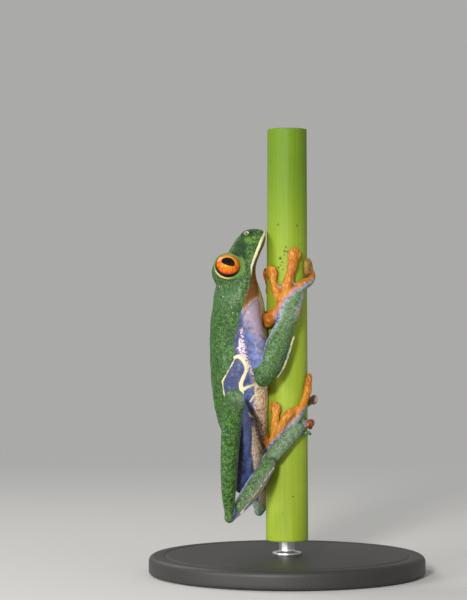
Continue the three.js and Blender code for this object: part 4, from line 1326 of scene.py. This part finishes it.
def skin_finish():
    f = Finish(
        "frog_skin", subsurface_weight=0.12, subsurface_scale=0.0011, subsurface_radius=(1.0, 0.6, 0.35),
        coat_roughness=0.25, specular_ior_level=0.3,
    )
    wobble = (f.noise(1.3, 3, 0.6) - 0.5) * 0.9
    fine = (f.noise(0.45, 2, 0.5, (3, 1, 2)) - 0.5) * 0.45
    broad = f.noise(5.5, 3, 0.55, (1, 5, 2))
    mottle = f.noise(0.9, 4, 0.65, (7, 2, 4))
    streaks_and_glints = f.noise(0.5, 3, 0.6, (6, 3, 3), (1, 1, 0.3))
    wet = f.noise(2.6, 2, 0.5, (4, 4, 1))
    beads = f.cells(0.44, "SMOOTH_F1")
    granules = f.cells(0.58, "SMOOTH_F1", (2, 2, 2))
    speckles = f.cells(0.5, "F1", (5, 1, 3))
    green, cream, belly, orange, violet = (f.mark(k) for k in EDGES)
    lilac, blue, red_and_shade, pale, painted_shade, pale_and_sheen, olive_and_shade, spotted = (f.mark(k) for k in SHARES)
    lip, gold, rim_and_snout_glint, hollow_shade, grain = (f.mark(k) for k in ("lip", "lid_gold", "rim_and_snout_glint", "hollow_shade", "grain"))

    flank = f.coats(  # navy to bright blue-violet, with lilac where the skin is thin
        f.blend(blue + wobble * 0.25, (20, 22, 50), (86, 108, 168)),
        ((lilac + fine * 0.8) * 0.9, (150, 132, 142)),
        (mottle.between(0.54, 0.66) * (0.12 + 0.3 * blue), (168, 162, 198)),
        (spotted + fine * 0.4, f.blend(speckles.between(0.66, 0.48), (84, 78, 150), (212, 194, 190))),
    )
    belly_skin = f.coats(  # cream granules over tan, paler on the chest with painted light, browner on the throat with painted shade
        f.blend(granules.between(0.7, 0.22), (180, 120, 86), (248, 232, 210)),
        (broad.between(0.35, 0.7) * 0.25 + pale_and_sheen * 0.7, (228, 204, 172)),
        (red_and_shade * 0.95, f.blend(mottle, (78, 38, 0), (132, 78, 2))),
        # olive-grey, on the tarsus's underside partly as painted shade
        (olive_and_shade, f.blend(mottle, (78, 80, 40), (122, 120, 76))),
    )
    digits = f.coats(
        f.blend(broad.between(0.3, 0.7), (168, 90, 0), (184, 120, 6)),
        (red_and_shade + fine * 0.3, (130, 38, 12)),
        # light streaks on the digits are painted highlights; the dark streaks are their own tone
        (streaks_and_glints.between(0.48, 0.68) * 0.66, (214, 166, 92)),
        (streaks_and_glints.between(0.46, 0.3) * 0.45, (140, 56, 6)),
        (olive_and_shade, f.blend(mottle.between(0.4, 0.6), (88, 82, 34), (158, 132, 66))),
        (lilac * (1 + fine), (172, 152, 172)),
    )
    patches = mottle.between(0.35, 0.65)
    sheen_tint = f.blend(patches, (116, 142, 120), (170, 186, 170))
    leaf = f.coats(  # the green, paler and darker in places, with a painted glint on each granule and a pale haze that is partly painted sheen
        f.blend(pale, (46, 94, 26), (88, 116, 62)),
        ((0 - pale) * 1.1, (28, 52, 24)),
        (broad.between(0.3, 0.75) * (0.36 + 0.3 * pale), (70, 120, 34)),
        (mottle.between(0.42, 0.58) * 0.8, (18, 44, 14)),
        # painted glint: a light bead on top of each granule
        (beads.between(0.4, 0.12) * (0.34 + 0.3 * pale), (132, 166, 106)),
        # pale haze over the green, partly painted sheen
        (pale_and_sheen * (0.55 + 0.65 * beads.between(0.5, 0.15)), sheen_tint),
    )
    colour = f.coats(
        flank,
        ((belly + wobble + fine).between(-0.5, 0.55), belly_skin),
        ((orange + wobble * 0.5 + fine * 0.5).between(-0.3, 0.3), digits),
        ((violet + fine).between(-0.15, 0.2), f.blend(patches, (82, 92, 156), (156, 154, 196))),
        ((green + wobble * 0.45 + fine * 0.4).between(-0.12, 0.16), leaf),
        ((cream + wobble * 0.5 + fine * 0.6).between(-0.1, 0.16), f.blend(mottle, (232, 224, 182), (206, 190, 136))),
        ((lip + fine * 0.12).between(-0.06, 0.12), f.blend(mottle, (226, 222, 184), (186, 184, 132))),
        # painted shadow: dark brown in the groin, under the thigh and in the crook of the heel
        (painted_shade, (42, 23, 18)),
        (rim_and_snout_glint * 0.6, (108, 150, 62)),
        (gold, (206, 184, 118)),
    )
    # painted shade: creases and hollows darkened towards brown
    colour = f.blend(hollow_shade.between(0.15, 1.0) * 0.5, colour, f.blend(1.0, colour, (104, 88, 76), "MULTIPLY"))
    roughness = 0.46 + 0.24 * mottle - 0.08 * hollow_shade
    f.feed(base_color=colour, roughness=roughness, coat_weight=0.05 + 0.2 * wet.between(0.45, 0.75))
    height = beads.between(0.7, 0.0) * (1 - grain) * (0.3 + 0.7 * green.between(-0.3, 0.3))
    height = height + granules.between(0.6, 0.1) * grain + mottle * 0.8
    f.relief(height * (0.3 + 0.7 * lip.between(0.1, -0.2)), 0.1)
    return f.material


def eye_finish():
    f = Finish(
        "eye_ball", roughness=0.35, specular_ior_level=0.05, coat_weight=0.85, coat_roughness=0.02, coat_ior=1.34,
    )
    pupil, iris, out, upper = (f.mark(k) for k in ("pupil", "iris", "out", "upper"))
    round_it = f.add("ShaderNodeCombineXYZ", {}, {0: f.mark("streak_x"), 1: f.mark("streak_y"), 2: out * 0.12})
    inputs = {"Vector": round_it, "Scale": 11.0, "Detail": 4.0, "Roughness": 0.65}
    streaks = f.add("ShaderNodeTexNoise", {}, inputs, "Fac")
    flecks = f.noise(0.22, 2, 0.5)
    f.feed(base_color=f.coats(
        f.blend(out.between(1.2, 3.1), (216, 132, 0), (190, 62, 0)),
        (streaks.between(0.42, 0.68) * 0.5, (246, 162, 40)),
        (streaks.between(0.5, 0.3) * 0.5, (150, 30, 12)),
        (flecks.between(0.6, 0.75) * 0.3, (255, 186, 92)),
        (iris.between(9, 1) * 0.75, (126, 20, 12)),
        (pupil.between(-0.3, -0.12) * upper.between(-0.7, 0.5) * 0.5, (250, 190, 100)),
        ((iris + (flecks - 0.5) * 3).between(0.8, -0.8), (14, 10, 10)),
        (pupil.between(-0.05, 0.05), (6, 5, 6)),
    ))
    return f.material


# Small dark marks on the near side of the stem: x, z, half width
STEM_DOTS = [
    (-1.95, 86.4, 0.42), (-0.75, 88.3, 0.36), (-0.45, 89.4, 0.3), (0.0, 88.1, 0.28), (-1.5, 85.3, 0.26),
    (-1.85, 84.5, 0.22), (-2.5, 83.9, 0.3), (-1.3, 83.3, 0.24), (-0.9, 87.3, 0.2), (2.7, 95.3, 0.3),
    (-2.6, 95.6, 0.34), (1.6, 21.4, 0.24), (-1.2, 16.8, 0.2),
]


def stem_finish():
    f = Finish(
        "green_stem", subsurface_weight=0.08, subsurface_scale=0.0015, subsurface_radius=(0.6, 1.0, 0.2),
        specular_ior_level=0.3,
    )
    cut, across = f.mark("cut"), f.mark("across")
    streak = f.noise(0.55, 4, 0.6, (0, 0, 0), (1, 1, 0.025))
    wide = f.noise(3.2, 3, 0.5, (2, 6, 1), (1, 1, 0.12))
    cloud = f.noise(9, 4, 0.6, (5, 5, 5))
    specks = f.cells(2.6, "F1", (1, 4, 2))
    scuffs = f.noise(1.4, 5, 0.7, (3, 9, 4), (1, 1, 0.3))
    dots = []
    for x, z, size in STEM_DOTS:
        spot = (x * MM, -math.sqrt(stem_radius(z) ** 2 - x * x) * MM, z * MM)
        away = f.measure("DISTANCE", {0: f.place, 1: spot}) * (1000 / size)
        dots.append(((away + (scuffs - 0.5) * 1.6).between(1.15, 0.7) * 0.85, (44, 46, 22)))
    # painted shade: the stem goes darker green towards the top
    high = f.add("ShaderNodeSeparateXYZ", {}, {0: f.place}, 2).between(0.075, 0.115)
    pith = f.blend(across.between(3.6, 4.6), (222, 224, 176), (168, 188, 92))
    colour = f.coats(
        f.blend(streak, (120, 146, 22), (160, 178, 54)),
        (wide.between(0.3, 0.7) * 0.5, (130, 158, 30)),
        (cloud.between(0.5, 0.8) * 0.4, (164, 182, 74)),
        (scuffs.between(0.66, 0.76) * 0.5, (168, 166, 92)),
        (specks.between(0.1, 0.04) * 0.7, (62, 66, 20)),
        *dots,
        (high * 0.85, (84, 118, 4)),
        (cut.between(0.3, 0.7), f.blend(f.cells(0.5).between(0.4, 0.1) * 0.4, pith, (148, 152, 92))),
    )
    f.feed(base_color=colour, roughness=0.5 + 0.18 * streak + 0.1 * cut)
    f.relief(streak + 0.5 * scuffs + specks.between(0.12, 0.03) * 0.6, 0.04)
    return f.material


def base_finish():
    f = Finish("stand_satin", ior=1.48)
    grain = f.noise(0.35, 3, 0.6)
    cloud = f.noise(14, 3, 0.5, (2, 3, 1))
    colour = f.coats(f.blend(cloud, (38, 37, 36), (50, 48, 46)), (grain.between(0.6, 0.8) * 0.3, (70, 68, 66)))
    f.feed(base_color=colour, roughness=0.42 + 0.12 * cloud + 0.08 * grain)
    f.relief(grain, 0.03)
    return f.material


def pin_finish():
    f = Finish("stand_steel", metallic=1.0)
    lines = f.noise(0.2, 3, 0.6, (0, 0, 0), (0.05, 0.05, 1))
    stain = f.noise(2.0, 3, 0.6)
    f.feed(base_color=f.blend(lines, (186, 186, 188), (220, 220, 222)), roughness=0.24 + 0.14 * lines + 0.06 * stain)
    f.relief(lines, 0.01)
    return f.material


# ---- put it together ----


def place(piece, finish, slot, *nodes):
    piece.data.materials.append(finish)
    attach(piece, "root")
    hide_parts(*nodes)


flesh = ["head", "trunk"]
for where in ("right", "left"):
    names = ("eyelid", "eardrum", "upper_arm", "forearm", "hand", "thigh", "shank", "tarsus", "foot")
    flesh += [name + "_" + where for name in names]
place(build_skin(SKIN_PITCH), skin_finish(), "skin", *flesh)
glossy = eye_finish()
for part in PARTS:
    place(build_eye(part), glossy, "eye", "eye_" + part["name"])
place(build_stem(), stem_finish(), "stem", "perch_stem")
place(build_base(), base_finish(), "base", "stand_base")
place(build_rod(), pin_finish(), "rod", "stand_rod")


# ---- floor, light and camera ----

HAZE, HAZE_STRENGTH = tint(228, 228, 226), 0.52
FLOOR_RINGS, FLOOR_SEGMENTS, FLOOR_LEVEL = (40, 100, 200, 350, 600, 1000, 2000, 4000), 96, -0.2


def build_floor():
    """A pale disc that fades into the haze."""
    n = FLOOR_SEGMENTS
    turn = np.linspace(0, 2 * math.pi, n, endpoint=False)
    points = [(0, 0, FLOOR_LEVEL)]
    points += [(r * math.cos(a), r * math.sin(a), FLOOR_LEVEL) for r in FLOOR_RINGS for a in turn]
    faces = [(0, 1 + k, 1 + (k + 1) % n) for k in range(n)]
    for ring, k in lattice(len(FLOOR_RINGS) - 1, n).tolist():
        inner, after = 1 + ring * n, (k + 1) % n
        faces.append((inner + k, inner + n + k, inner + n + after, inner + after))
    floor = make_object("floor", points, faces)
    f = Finish("pale_floor", roughness=0.75)
    f.feed(base_color=f.blend(f.noise(3.0, 3, 0.6), (200, 199, 197), (206, 205, 203)))
    away = f.measure("LENGTH", {0: f.place}).between(0.1, 0.46)
    glow = f.add("ShaderNodeEmission", {}, {"Color": HAZE, "Strength": HAZE_STRENGTH})
    surface = f.add("ShaderNodeMixShader", {}, {0: away, 1: Wire(f, f.shader.outputs[0]), 2: glow})
    f.links.new(surface.socket, f.nodes["Material Output"].inputs["Surface"])
    floor.data.materials.append(f.material)


def lamp(name, place_at, size, power, aim=(-0.008, 0, 0.06), colour=(1, 1, 1)):
    light = bpy.data.lights.new(name, "AREA")
    light.shape, light.size, light.energy, light.color = "DISK", size, power, colour
    holder = link(name, light)
    holder.location = place_at
    holder.rotation_euler = (Vector(aim) - Vector(place_at)).to_track_quat("-Z", "Y").to_euler()


build_floor()
lamp("key", (-0.2, -0.7, 0.27), 0.12, 5.2, colour=(1, 0.975, 0.94))
lamp("side", (-0.62, -0.42, 0.18), 0.3, 2.6)
lamp("fill", (0.8, -0.9, 0.6), 0.8, 0.8)
lamp("back", (-0.7, 0.6, 0.8), 0.5, 4.0)

world = bpy.data.worlds.new("studio")
world.use_nodes = True
background = world.node_tree.nodes["Background"]
background.inputs["Color"].default_value, background.inputs["Strength"].default_value = HAZE, HAZE_STRENGTH
bpy.context.scene.world = world
bpy.context.scene.view_settings.view_transform = "Standard"

lens = bpy.data.cameras.new("camera")
lens.lens, lens.sensor_width, lens.clip_start = 130.9, 36, 0.01
camera = link("camera", lens)
camera.location = (-0.0147, -0.6, 0.075)
camera.rotation_euler = (math.pi / 2, 0, 0)
bpy.context.scene.camera = camera
